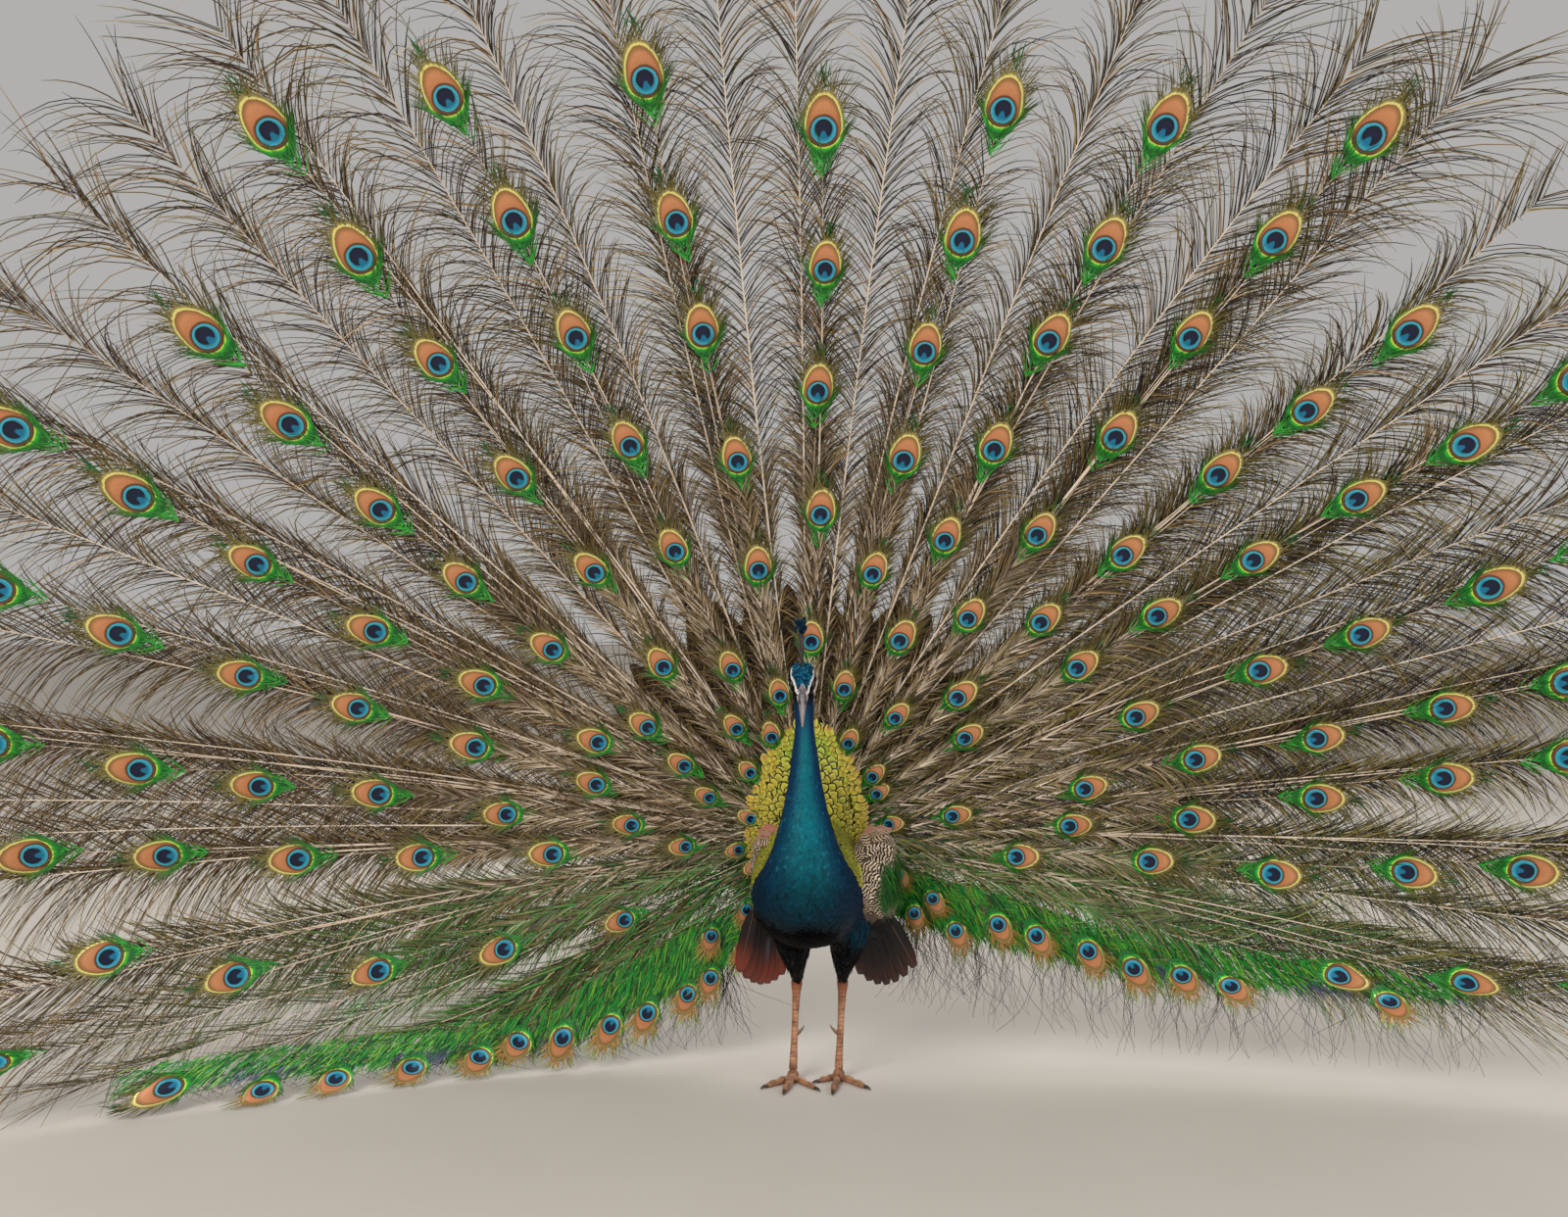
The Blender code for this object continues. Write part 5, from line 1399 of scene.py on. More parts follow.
# along each crown scale the colour runs from a near-black root, painted shade between the curled scales, to a painted
# cyan highlight past the middle; the face's small feathers are only a little darker at the root
dim = np.where(crown[:, None], np.array([0.05, 0.35, 1.2, 0.8])[None], np.where(white[:, None] > 0.3, 1.0, np.array([0.6, 0.95, 1.0, 0.9])[None]))
m = leaf_mesh(V, chart(P, N, np.ones(len(P), int)), c[:, None] * dim[..., None])
build("coat_head", m[0], m[1], m[2], m[3], material=BLUE_MAT)
print("head feathers", len(P))

# black thighs, and the loose down under the tail
P, N, lab = scatter(lambda c, l: np.full(len(c), 0.0062 * (1)), lambda c, n, l: np.isin(l, (2, 3)) | (np.isin(l, (4, 5)) & (c[:, 1] > 0.12)), 7)
thigh = np.isin(lab, (2, 3))
F = unit(flow(P, N, lab) + RNG.normal(0, 0.16, P.shape))
L = np.where(thigh, RNG.uniform(0.014, 0.022, len(P)), RNG.uniform(0.022, 0.040, len(P))) * np.where(thigh & (P[:, 2] < 0.175), 0.6, 1.0)
W = np.where(thigh, RNG.uniform(0.004, 0.007, len(P)), RNG.uniform(0.006, 0.010, len(P)))
V = vanes(P, N, F, L, W, np.where(thigh, 0.0016, 0.006) * RNG.uniform(0.5, 1.4, len(P)), prof=(0.7, 1.0, 0.6, 0.12))
c = body_colour(P, N, lab) * RNG.uniform(0.6, 1.5, len(P))[:, None]
m = leaf_mesh(V, chart(P, N, lab), c[:, None] * np.array([0.6, 0.9, 1.1, 1.3])[None, :, None])
DOWN_MAT = plumage("dark_down", rough=0.80, spec=0.08, grain=600.0, vary=0.4, bump=0.2)
build("coat_down", m[0], m[1], m[2], m[3], material=DOWN_MAT)


# ================================================================ gold shield of the back
def scale_material():
    n = Nodes("gold_scale_feathers")
    uv = n.add("ShaderNodeSeparateXYZ")
    n.put(uv.inputs[0], n.uv("VaneUV"))
    across = n.math("ABSOLUTE", n.math("MULTIPLY_ADD", uv.outputs[0], 2.0, -1.0))
    along = uv.outputs[1]
    pos = n.position()
    # distance from the middle of the rounded tip, 1 at the feather's outline
    dy = n.math("MULTIPLY", n.math("MAXIMUM", n.math("SUBTRACT", along, 0.42), 0.0), 1.72)
    edge = n.math("SQRT", n.math("ADD", n.math("MULTIPLY", across, across), n.math("MULTIPLY", dy, dy)))
    edge = n.math("ADD", edge, n.math("MULTIPLY_ADD", n.noise(pos, 420.0, 2.0), 0.12, -0.06))
    rim = n.step(0.80, 0.89, edge)
    c = n.attribute("col")
    light = n.mix(n.noise(pos, 240.0, 3.0, 0.6), n.mix(1.0, c, (0.72, 0.74, 0.66), "MULTIPLY"), c)
    light = n.mix(n.math("MULTIPLY", n.step(0.50, 0.70, edge), 0.5), light, lin(236, 222, 96))
    light = n.mix(n.math("MULTIPLY", n.step(0.40, 0.12, edge), 0.40), light, lin(150, 108, 34))
    c = n.mix(rim, light, lin(20, 24, 10))
    n.bump(edge, 0.5, 0.0008)
    return n.done(c, 0.40, 0.15, 0.45)


SCALE_MAT = scale_material()


def on_tree(tree, x, z, y0=-0.6, direction=(0, 1, 0)):
    P, N, ok = [], [], []
    for a, b in zip(x, z):
        hit = tree.ray_cast((a, y0, b), direction)
        ok.append(hit[0] is not None)
        P.append(tuple(hit[0]) if hit[0] is not None else (0, 0, 0))
        N.append(tuple(hit[1]) if hit[0] is not None else (0, -1, 0))
    return np.array(P), unit(np.array(N)), np.array(ok)


hub = FC + ORIGIN
rows = []
SIZE_AT = ([0, 28, 45, 75, 100, 180], [0.0142, 0.0138, 0.0106, 0.0080, 0.0058, 0.0052])
for k in range(42):
    ang = -140.0
    while ang < 140:
        size = np.interp(abs(ang), *SIZE_AT)
        rho = 0.014 + 0.60 * size * k
        step = np.degrees(0.88 * size / rho)
        at = np.radians(ang + 0.5 * step * (k % 2))
        if rho < 0.216:
            rows.append((np.sin(at) * rho, np.cos(at) * rho, size, at))
        ang += step
rows = np.array(rows)
rows[:, 0] += RNG.normal(0, 0.06, len(rows)) * rows[:, 2]
rows[:, 1] += RNG.normal(0, 0.06, len(rows)) * rows[:, 2]
P, N, ok = on_tree(TREES["back"], hub[0] + rows[:, 0], hub[2] + rows[:, 1])
# a last row or two stands out past the shield's edge, in front of the train
tall = np.where(rows[:, 1] > 0, 0.197, 0.072)
edge = np.hypot(rows[:, 0] / (0.096 * (1 - 0.10 * rows[:, 1] / 0.2)), rows[:, 1] / tall)
past = ~ok & (edge < 1.0)
th_, r_ = np.degrees(np.arctan2(rows[:, 0], rows[:, 1])), np.hypot(rows[:, 0], rows[:, 1])
flat_p = fan(th_, r_, 0.0300)
move = past | (ok & (P[:, 1] > flat_p[:, 1]))
P[move] = flat_p[move]
N[move] = unit(unit(TURN @ np.array([0, -1.0, 0]))[None] + 0.35 * unit(np.stack([rows[:, 0], 0 * rows[:, 0], rows[:, 1]], -1))[move])
ok = ok | past
rows, P, N, edge = rows[ok], P[ok], N[ok], edge[ok]
F = unit(np.stack([rows[:, 0], 0 * rows[:, 0], rows[:, 1]], -1) + RNG.normal(0, 0.04, (len(P), 3)))
size = rows[:, 2] * RNG.uniform(0.96, 1.06, len(P))
SR = 9
PROF = (0.80, 0.90, 0.97, 1.0, 1.0, 0.97, 0.88, 0.68, 0.20)
V1 = vanes(P, N, F, size * 1.42, size * 1.22, size * 0.20, rows=SR, cup=0.10, sink=0.0008, curl=0.04, prof=PROF)
hi = smoothstep(0.07, 0.17, rows[:, 1])
gold, green, orange = lin(214, 192, 54), lin(150, 204, 56), lin(214, 140, 78)
c = mixc(gold, green, np.clip(smoothstep(0.066, 0.030, np.abs(rows[:, 0]) + 0.012 * RNG.normal(0, 1, len(P))) * (0.35 + 0.6 * hi) + 0.3 * (RNG.random(len(P)) < 0.15), 0, 1))
c = mixc(c, lin(232, 222, 110), 0.5 * RNG.random(len(P)) * (1 - hi))
rimness = smoothstep(0.80, 0.97, edge)
c = mixc(c, lin(232, 206, 84), 0.6 * rimness)
c1 = np.repeat(np.repeat((c * RNG.uniform(0.84, 1.1, len(P))[:, None])[:, None, None], SR, 1), 3, 2)
core = np.interp(np.arange(SR), [3, 4, 6, 7], [0, 1, 1, 0])[None, :, None] * np.array([0.15, 1.0, 0.15])[None, None] * (0.9 * rimness + 0.10)[:, None, None]
c1 = mixc(c1, orange, core)
uv1 = chart(P, N, np.full(len(P), 6))

P, N, lab = scatter(lambda c, l: np.full(len(c), 0.0052), lambda c, n, l: (l == 0) & (saddle(c) > 0.35), 9)
F = unit(flow(P, N, lab) + RNG.normal(0, 0.06, P.shape))
size = 0.0058 * RNG.uniform(0.9, 1.15, len(P))
V2 = vanes(P, N, F, size * 1.5, size * 1.22, size * 0.20, rows=SR, cup=0.12, sink=0.0004, curl=0.04, prof=PROF)
c2 = mixc(lin(206, 194, 58), lin(120, 170, 50), RNG.random(len(P)) ** 1.5) * RNG.uniform(0.7, 1.1, len(P))[:, None]
V2 = drape(V2, 0.0004, 0.0012)
V, cc, uvr = np.concatenate([V1, V2]), np.concatenate([c1, np.repeat(np.repeat(c2[:, None, None], SR, 1), 3, 2)]), np.concatenate([uv1, chart(P, N, lab)])
m = leaf_mesh(V, uvr, cc)
build("coat_scales", m[0], m[1], m[2], m[3], extra_uv={"VaneUV": m[4]}, material=SCALE_MAT)
print("scales", len(V1), len(V2))


# ================================================================ wings
def barred_material():
    n = Nodes("barred_coverts")
    uv = n.add("ShaderNodeSeparateXYZ")
    n.put(uv.inputs[0], n.uv("VaneUV"))
    across = n.math("ABSOLUTE", n.math("MULTIPLY_ADD", uv.outputs[0], 2.0, -1.0))
    pos = n.position()
    wave = n.math("MULTIPLY_ADD", uv.outputs[1], 28.0, n.math("MULTIPLY", n.noise(pos, 95.0, 2.0, 0.5), 8.0))
    wave = n.math("ADD", wave, n.math("MULTIPLY", across, -2.2))
    bars = n.math("SINE", wave)
    dark = n.step(-0.25, 0.15, bars)
    c = n.attribute("col")
    bright = n.mix(n.noise(pos, 500.0, 2.0), n.mix(1.0, c, (0.8, 0.78, 0.74), "MULTIPLY"), c)
    share = n.add("ShaderNodeAttribute", attribute_name="bar").outputs["Fac"]
    c = n.mix(n.math("MULTIPLY", dark, share), bright, lin(20, 16, 15))
    n.bump(bars, 0.15, 0.0005)
    return n.done(c, 0.65, 0.0, 0.15)


BARRED = barred_material()
P, N, lab = scatter(lambda c, l: np.full(len(c), 0.0066), lambda c, n, l: (l >= 7), 11)
sg = np.where(lab == 7, -1.0, 1.0)
F = unit(np.stack([sg * 0.25, np.full(len(P), 0.60), np.full(len(P), -0.78)], -1) + RNG.normal(0, 0.10, P.shape))
L, W = RNG.uniform(0.019, 0.026, len(P)), RNG.uniform(0.012, 0.015, len(P))
V = vanes(P, N, F, L, W, 0.0022, rows=6, cup=0.15, sink=0.0004, curl=0.03, prof=(0.5, 0.9, 1.0, 0.95, 0.75, 0.25))
V = drape(V, 0.0005, 0.0018)
c = mixc(lin(232, 214, 190), lin(206, 178, 150), RNG.random(len(P)))
pink = smoothstep(0.380, 0.400, P[:, 2] + 0.4 * (0.085 - np.abs(P[:, 0])) + 0.006 * noise3(P, 120.0)) * (P[:, 1] < 0.16)
c = mixc(c, lin(204, 134, 116), pink)
darker = smoothstep(0.296, 0.276, P[:, 2] + 0.006 * noise3(P, 100.0))
emerald = smoothstep(0.083, 0.093, P[:, 0] + 0.004 * noise3(P, 130.0)) * smoothstep(0.288, 0.300, P[:, 2]) * smoothstep(0.368, 0.350, P[:, 2]) * (lab == 8)
c = mixc(c, lin(17, 14, 13), darker)
c = mixc(c, mixc(lin(12, 70, 34), lin(30, 110, 44), RNG.random(len(P))), emerald)
share = (1 - 0.9 * pink) * (1 - darker) * (1 - 0.85 * emerald)
m = leaf_mesh(V, chart(P, N, lab), np.repeat(c[:, None], 6, 1))
ob = build("coat_coverts", m[0], m[1], m[2], m[3], extra_uv={"VaneUV": m[4]}, material=BARRED)
at = ob.data.attributes.new("bar", "FLOAT", "POINT")
at.data.foreach_set("value", np.repeat(share, 18).astype(np.float32))
print("coverts", len(P))
# green barbs of the train's lowest feathers hang over the wing's outer edge
pk = RNG.random(4 * len(P)) < 0.9
G = np.repeat(np.arange(len(P)), 4)[pk]
G = G[(emerald[G] > 0.5) & (N[G, 1] < 0.35)]
PG = P[G] + RNG.normal(0, 0.004, (len(G), 3)) * np.array([1, 0.3, 1])
FG = unit(np.array([0.25, -0.15, -1.0]) + RNG.normal(0, 0.16, (len(G), 3)))
VG = vanes(PG, N[G], FG, RNG.uniform(0.018, 0.034, len(G)), RNG.uniform(0.0009, 0.0017, len(G)), RNG.uniform(0.004, 0.008, len(G)), rows=4, cup=0.1, sink=-0.003, prof=(0.8, 1.0, 0.7, 0.15))
cg = mixc(lin(10, 66, 30), lin(70, 150, 46), RNG.random(len(G)) ** 1.6)[:, None] * np.array([0.7, 1.0, 1.0, 0.8])[None, :, None]
mg = leaf_mesh(VG, chart(PG, N[G], lab[G]), cg)
build("coat_wing_green", mg[0], mg[1], mg[2], mg[3], material=FRINGE)


def quill_material(name, barred=0.0, rough=0.5):
    """Long stiff feathers: fine slanting barbs on both sides of a pale shaft."""
    n = Nodes(name)
    uv = n.add("ShaderNodeSeparateXYZ")
    n.put(uv.inputs[0], n.uv("VaneUV"))
    signed = n.math("MULTIPLY_ADD", uv.outputs[0], 2.0, -1.0)
    across = n.math("ABSOLUTE", signed)
    pos = n.position()
    barb = n.math("SINE", n.math("MULTIPLY_ADD", uv.outputs[1], 260.0, n.math("MULTIPLY", across, -22.0)))
    c = n.attribute("col")
    c = n.mix(n.math("MULTIPLY_ADD", barb, 0.12, 0.14), c, n.mix(1.0, c, (0.35, 0.35, 0.35), "MULTIPLY"))
    c = n.mix(n.math("MULTIPLY", n.noise(pos, 60.0, 3.0), 0.35), c, n.mix(1.0, c, (1.5, 1.4, 1.3), "MULTIPLY"))
    if barred:
        w = n.math("SINE", n.math("MULTIPLY_ADD", uv.outputs[1], 60.0, n.math("MULTIPLY", n.noise(pos, 70.0, 3.0), 10.0)))
        c = n.mix(n.math("MULTIPLY", n.step(0.0, 0.6, w), barred), c, lin(40, 32, 28))
    c = n.mix(n.step(0.050, 0.025, across), c, lin(104, 80, 64))
    n.bump(barb, 0.2, 0.0004)
    return n.done(c, rough, 0.0, 0.35)


QUILL = quill_material("flight_feathers", 0.0, 0.42)


def long_vanes(root, tip, width, up, rows=12, cols=7, bow=0.0, cup=0.1, prof=None, asym=0.0):
    """Long feathers from root to tip, lying across the direction up."""
    s = np.linspace(0, 1, rows)
    prof = prof or (0.30, 0.70, 0.90, 1.0, 1.0, 1.0, 0.92, 0.78, 0.34)
    pr = np.interp(s, np.linspace(0, 1, len(prof)), prof)
    d = tip - root
    f = unit(d)
    side = unit(np.cross(up, f))
    nn = np.cross(f, side)
    c = root[:, None] + d[:, None] * s[None, :, None] + nn[:, None] * (bow * 4 * s * (1 - s) * 1.0)[None, :, None]
    x = np.linspace(-1, 1, cols)
    off = width[:, None, None] / 2 * pr[None, :, None] * (x + asym * (1 - x ** 2) * 0)[None, None]
    return c[:, :, None] + side[:, None, None] * off[..., None] + nn[:, None, None] * (-cup * np.abs(off))[..., None]


TIPS = {"right": ((-0.052, 0.100, 0.140), (-0.088, 0.110, 0.122), (-0.122, 0.090, 0.150)),
        "left": ((0.072, 0.112, 0.138), (0.116, 0.116, 0.120), (0.160, 0.092, 0.158))}
OUT = {"right": -0.0285, "left": 0.0175}
for tag, sg in (("right", -1), ("left", 1)):
    inner, mid, outer = (np.array(x) for x in TIPS[tag])
    NP = 7
    u = np.linspace(0.02, 0.98, NP)[:, None]
    tip = inner * (1 - u) * (1 - 2 * u) + mid * 4 * u * (1 - u) + outer * u * (2 * u - 1)
    tip[:, 2] += 0.004
    root = np.stack([SPINE_X + sg * (0.072 + 0.6 * OUT[tag] + 0.030 * u[:, 0]), 0.060 - 0.030 * u[:, 0], 0.268 + 0 * u[:, 0]], -1)
    order = np.arange(NP)[:, None]
    shift = np.stack([0 * u[:, 0], -0.0016 * np.arange(NP), 0 * u[:, 0]], -1)
    V = long_vanes(root + ORIGIN + shift * 0.4, tip + ORIGIN + shift, np.full(NP, 0.026), np.repeat(np.array([[0.0, -1.0, 0.25]]), NP, 0), bow=0.006, cup=0.10)
    s = np.linspace(0, 1, 12)
    if tag == "right":
        c = mixc(lin(26, 18, 18), lin(132, 52, 34), smoothstep(0.40, 0.92, s))[None] * RNG.uniform(0.75, 1.2, (NP, 1, 1))
        # painted sheen: two feathers of the bird's right wing get a blue-grey reflection across their middle
        c = mixc(c, lin(118, 124, 138), (smoothstep(0.25, 0.5, s) * smoothstep(0.75, 0.5, s))[None] * np.array([0, 0.55, 0, 0.4, 0, 0, 0])[:, None])
    else:
        c = mixc(lin(13, 11, 11), lin(66, 24, 19), smoothstep(0.55, 0.95, s))[None] * RNG.uniform(0.7, 1.15, (NP, 1, 1))
    uvr = np.stack([np.linspace(0.1, 0.9, NP), np.full(NP, 0.2 if tag == "right" else 0.6)], -1)
    m = leaf_mesh(V, uvr, c, patch=0.1)
    ob = build(f"flight_{tag}", m[0], m[1], m[2], m[3], extra_uv={"VaneUV": m[4]}, material=QUILL)
    sol = ob.modifiers.new("thick", "SOLIDIFY")
    sol.thickness = 0.0006
    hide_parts(f"primaries_{tag}")


# ================================================================ legs
PLATE = 0.0062


def leg_material():
    n = Nodes("leg_skin")
    pos = n.position()
    vor = n.add("ShaderNodeTexVoronoi", feature="DISTANCE_TO_EDGE")
    mp = n.add("ShaderNodeMapping")
    n.put(mp.inputs["Vector"], pos)
    mp.inputs["Scale"].default_value = (1.0, 1.0, 1.35)
    n.put(vor.inputs["Vector"], mp.outputs[0])
    vor.inputs["Scale"].default_value = 270.0
    vor.inputs["Randomness"].default_value = 0.55
    gap = n.step(0.0, 0.10, vor.outputs[0])
    big = n.noise(pos, 55.0, 3.0, 0.6)
    c = n.mix(n.step(0.35, 0.65, big), lin(136, 88, 58), lin(198, 142, 104))
    z = n.add("ShaderNodeSeparateXYZ")
    n.put(z.inputs[0], pos)
    c = n.mix(n.step(0.105, 0.150, z.outputs[2]), c, lin(150, 84, 52))
    # broad plates down the front of the shank, small scales round the rest
    fold = n.math("ABSOLUTE", n.math("SINE", n.math("MULTIPLY", z.outputs[2], math.pi / PLATE)))
    gap = n.mix(n.attribute("col"), gap, n.step(0.0, 0.20, fold))
    c = n.mix(n.math("MULTIPLY", n.math("SUBTRACT", 1.0, gap), 0.60), c, lin(84, 54, 38))
    n.bump(gap, 0.7, 0.0007)
    return n.done(c, 0.38, 0.0, 0.5)


LEG = leg_material()
for tag in ("right", "left"):
    parts = [node_arrays(f"tarsus_{tag}"), node_arrays(f"foot_{tag}")]
    co, q = remeshed([(c, [t_]) for c, t_ in parts], 0.0009)
    co = relax(co, q, 4)
    nn, _ = normals_of(co, q)
    floor_z = co[:, 2] < 0.0006
    co = co - nn * 0.0002
    # plates across the front of the shank
    z = co[:, 2]
    shank = smoothstep(0.022, 0.034, z)
    front = smoothstep(0.15, 0.50, -nn[:, 1]) * shank * smoothstep(0.148, 0.136, z)
    co = co + nn * (shank * (0.15 + 0.85 * front) * 0.00045 * np.abs(np.sin(z * np.pi / PLATE)) ** 0.6)[:, None]
    toes = smoothstep(0.020, 0.012, z) * smoothstep(0.3, 0.8, nn[:, 2])
    rr = np.hypot(co[:, 0] - co[z < 0.02, 0].mean(), co[:, 1] - 0.145)
    co = co + nn * (toes * 0.00035 * np.abs(np.sin(rr * np.pi / 0.0048)) ** 0.6)[:, None]
    co[:, 2] = np.maximum(co[:, 2], 0.0002)
    uv = np.stack([0.05 + 0.4 * (np.arctan2(co[:, 0] - co[:, 0].mean(), co[:, 1] - 0.155) / (2 * np.pi) + 0.5) + (0.5 if tag == "left" else 0), 0.02 + 0.9 * co[:, 2] / 0.16], -1)
    ob = build(f"leg_{tag}", co, q, uv=uv, col=np.repeat(front[:, None], 3, 1), material=LEG)
    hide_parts(f"tarsus_{tag}", f"foot_{tag}")


def horn(name, dark, light, rough=0.35, scale=160.0):
    n = Nodes(name)
    p = n.position()
    c = n.mix(n.noise(p, scale, 4.0, 0.6, stretch=(1, 1, 0.4)), dark, light)
    n.bump(n.noise(p, scale * 3, 2.0), 0.2, 0.0003)
    return n.done(c, rough, 0.0, 0.5)


CLAW = horn("claw_dark_horn", lin(38, 28, 22), lin(92, 72, 56))
SPUR = horn("spur_pale_horn", lin(112, 82, 66), lin(172, 136, 112))
for name, ob in frame["nodes"].items():
    if name.startswith(("claw_", "spur_")):
        ob.data.materials.clear()
        ob.data.materials.append(CLAW if name.startswith("claw_") else SPUR)


# ================================================================ bill, eyes and crest
def bill_material():
    n = Nodes("bill_horn_fine")
    p = n.position()
    c = n.attribute("col")
    c = n.mix(n.math("MULTIPLY", n.noise(p, 260.0, 4.0, 0.6, stretch=(1.0, 1.0, 0.5)), 0.45), c, n.mix(1.0, c, (0.55, 0.53, 0.52), "MULTIPLY"))
    n.bump(n.noise(p, 420.0, 3.0), 0.2, 0.0004)
    return n.done(c, 0.32, 0.0, 0.5)


BILL = bill_material()
UPPER = np.array([(0.0235, -0.0030, 0.0088, 0.0080, 0.0034), (0.0300, -0.0024, 0.0078, 0.0074, 0.0030), (0.0360, -0.0028, 0.0063, 0.0066, 0.0028),
                  (0.0430, -0.0040, 0.0052, 0.0058, 0.0026), (0.0530, -0.0068, 0.0036, 0.0042, 0.0024), (0.0610, -0.0102, 0.0022, 0.0027, 0.0020), (0.0680, -0.0148, 0.0010, 0.0012, 0.0010)])
LOWER = np.array([(0.0240, -0.0098, 0.0076, 0.0034, 0.0040), (0.0340, -0.0092, 0.0058, 0.0034, 0.0034), (0.0430, -0.0087, 0.0043, 0.0030, 0.0026),
                  (0.0520, -0.0101, 0.0029, 0.0024, 0.0020), (0.0600, -0.0122, 0.0013, 0.0014, 0.0010)])
ridge = []
for a in (0.0130, 0.0165, 0.0200):
    hit = TREES["head"].ray_cast(tuple(head_at(a, 0.06, 0.0)), tuple(-HU))[0]
    top = (np.array(hit) - SKULL) @ HU
    w = np.interp(a, [0.0130, 0.0200], [0.0020, 0.0066])
    ridge.append((a, top - 0.0040, w, 0.0044, 0.0030))
UPPER = np.concatenate([np.array(ridge), UPPER])
for name, rws in (("bill_upper", UPPER), ("bill_lower", LOWER)):
    r = catmull(rws, np.linspace(0, len(rws) - 1, 44))
    rings = sections(head_at(r[:, 0], r[:, 1]), np.repeat(HD[None], 44, 0), r[:, 2] * 0.97, r[:, 3] * 0.97, r[:, 4] * 0.97, 32, 1.85, -HX)
    co, faces = loft(rings)
    a, u, s = in_head(co)
    if name == "bill_upper":
        # a ridge down the middle, and a slit for each nostril under its flap
        n_at = np.exp(-((a - 0.0345) / 0.0035) ** 2 - ((u - 0.0010 - 0.15 * (a - 0.0345)) / 0.0011) ** 2)
        co = co - HX * (np.sign(s) * n_at * 0.0010)[:, None]
        c = mixc(lin(96, 90, 94), lin(158, 146, 148), smoothstep(0.030, 0.050, a))
        c = mixc(c, lin(196, 146, 138), smoothstep(0.052, 0.066, a))
        c = mixc(c, lin(168, 160, 162), 0.5 * smoothstep(0.0022, 0.0008, np.abs(s)))
        c = mixc(c, lin(222, 216, 208), smoothstep(0.0060, 0.0072, np.abs(s)) * smoothstep(0.037, 0.031, a) * (a > 0.023))
        c = mixc(c, lin(20, 16, 16), np.clip(n_at * 1.3, 0, 1))
    else:
        c = mixc(lin(112, 104, 104), lin(190, 142, 132), smoothstep(0.042, 0.060, a))
    uv = np.stack([0.5 + s * 20 + (0.25 if name == "bill_upper" else -0.25), (a - 0.02) * 18], -1)
    ob = build(name + "_fine", co, faces, uv=uv, col=c, material=BILL)
    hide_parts(name)


def eyeball_material(tag, centre, out):
    n = Nodes(f"eyeball_{tag}")
    p = n.add("ShaderNodeVectorMath", operation="SUBTRACT")
    n.put(p.inputs[0], n.position())
    p.inputs[1].default_value = tuple(centre)
    d = n.add("ShaderNodeVectorMath", operation="DOT_PRODUCT")
    n.tree.links.new(p.outputs[0], d.inputs[0])
    d.inputs[1].default_value = tuple(out)
    off = n.math("DIVIDE", d.outputs["Value"], EYE_R)
    iris = n.mix(n.noise(p.outputs[0], 600.0, 3.0), lin(58, 30, 16), lin(96, 52, 26))
    c = n.mix(n.step(0.70, 0.78, off), iris, lin(4, 4, 5))
    c = n.mix(n.step(0.40, 0.30, off), c, lin(24, 16, 14))
    return n.done(c, 0.10, 0.0, 0.35, coat=0.35, coat_rough=0.03)


LID = horn("eyelid", lin(18, 18, 22), lin(44, 42, 46), 0.55, 700.0)
for tag, sg in (("right", -1), ("left", 1)):
    c = EYE_AT[tag]
    out = unit(np.array([sg * 0.95, -0.28, 0.02])[None])[0]
    bm = bmesh.new()
    bmesh.ops.create_uvsphere(bm, u_segments=40, v_segments=24, radius=EYE_R * 0.985, matrix=Matrix.Translation(c))
    me = bpy.data.meshes.new(f"eyeball_{tag}")
    bm.to_mesh(me)
    bm.free()
    me.uv_layers.new(name="OFBake")
    co = np.empty(len(me.vertices) * 3, np.float32)
    me.vertices.foreach_get("co", co)
    co = (co.reshape(-1, 3) - c) / EYE_R
    idx = np.empty(len(me.loops), np.int32)
    me.loops.foreach_get("vertex_index", idx)
    uv = np.stack([0.5 + 0.45 * co[:, 1], 0.5 + 0.45 * co[:, 2]], -1)[idx]
    me.uv_layers[0].data.foreach_set("uv", uv.astype(np.float32).ravel())
    me.polygons.foreach_set("use_smooth", np.ones(len(me.polygons), bool))
    ob = bpy.data.objects.new(f"eyeball_{tag}", me)
    bpy.context.scene.collection.objects.link(ob)
    me.materials.append(eyeball_material(tag, c, out))
    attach(ob, "root")
    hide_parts(f"eye_{tag}")
    # lids: a soft almond rim round the ball
    e1 = unit(np.cross(out, HU)[None])[0]
    e2 = np.cross(e1, out)
    na = 40
    a = np.linspace(0, 2 * np.pi, na, endpoint=False)
    open_ = 0.70 + 0.12 * np.cos(a) ** 2
    ring_c = c + out * (EYE_R * np.sqrt(np.clip(1 - open_ ** 2, 0, 1)) * 1.02)[:, None] + (e1 * np.cos(a)[:, None] + e2 * (np.sin(a) * 0.92)[:, None]) * (EYE_R * open_)[:, None]
    radial = unit(ring_c - c)
    along = unit(np.roll(ring_c, -1, 0) - np.roll(ring_c, 1, 0))
    bi = unit(np.cross(along, radial))
    b = 2 * np.pi * np.arange(8) / 8
    pts = ring_c[:, None] + radial[:, None] * (np.cos(b) * 0.00055)[None, :, None] + bi[:, None] * (np.sin(b) * 0.0010)[None, :, None]
    i, j = np.arange(na)[:, None], np.arange(8)[None]
    quads = np.stack([i * 8 + j, i * 8 + (j + 1) % 8, ((i + 1) % na) * 8 + (j + 1) % 8, ((i + 1) % na) * 8 + j], -1).reshape(-1, 4)
    uv = np.stack([np.repeat(a / 6.4, 8), np.tile(np.arange(8) / 16, na)], -1)
    build(f"lids_{tag}", pts.reshape(-1, 3), quads, uv=uv, material=LID)

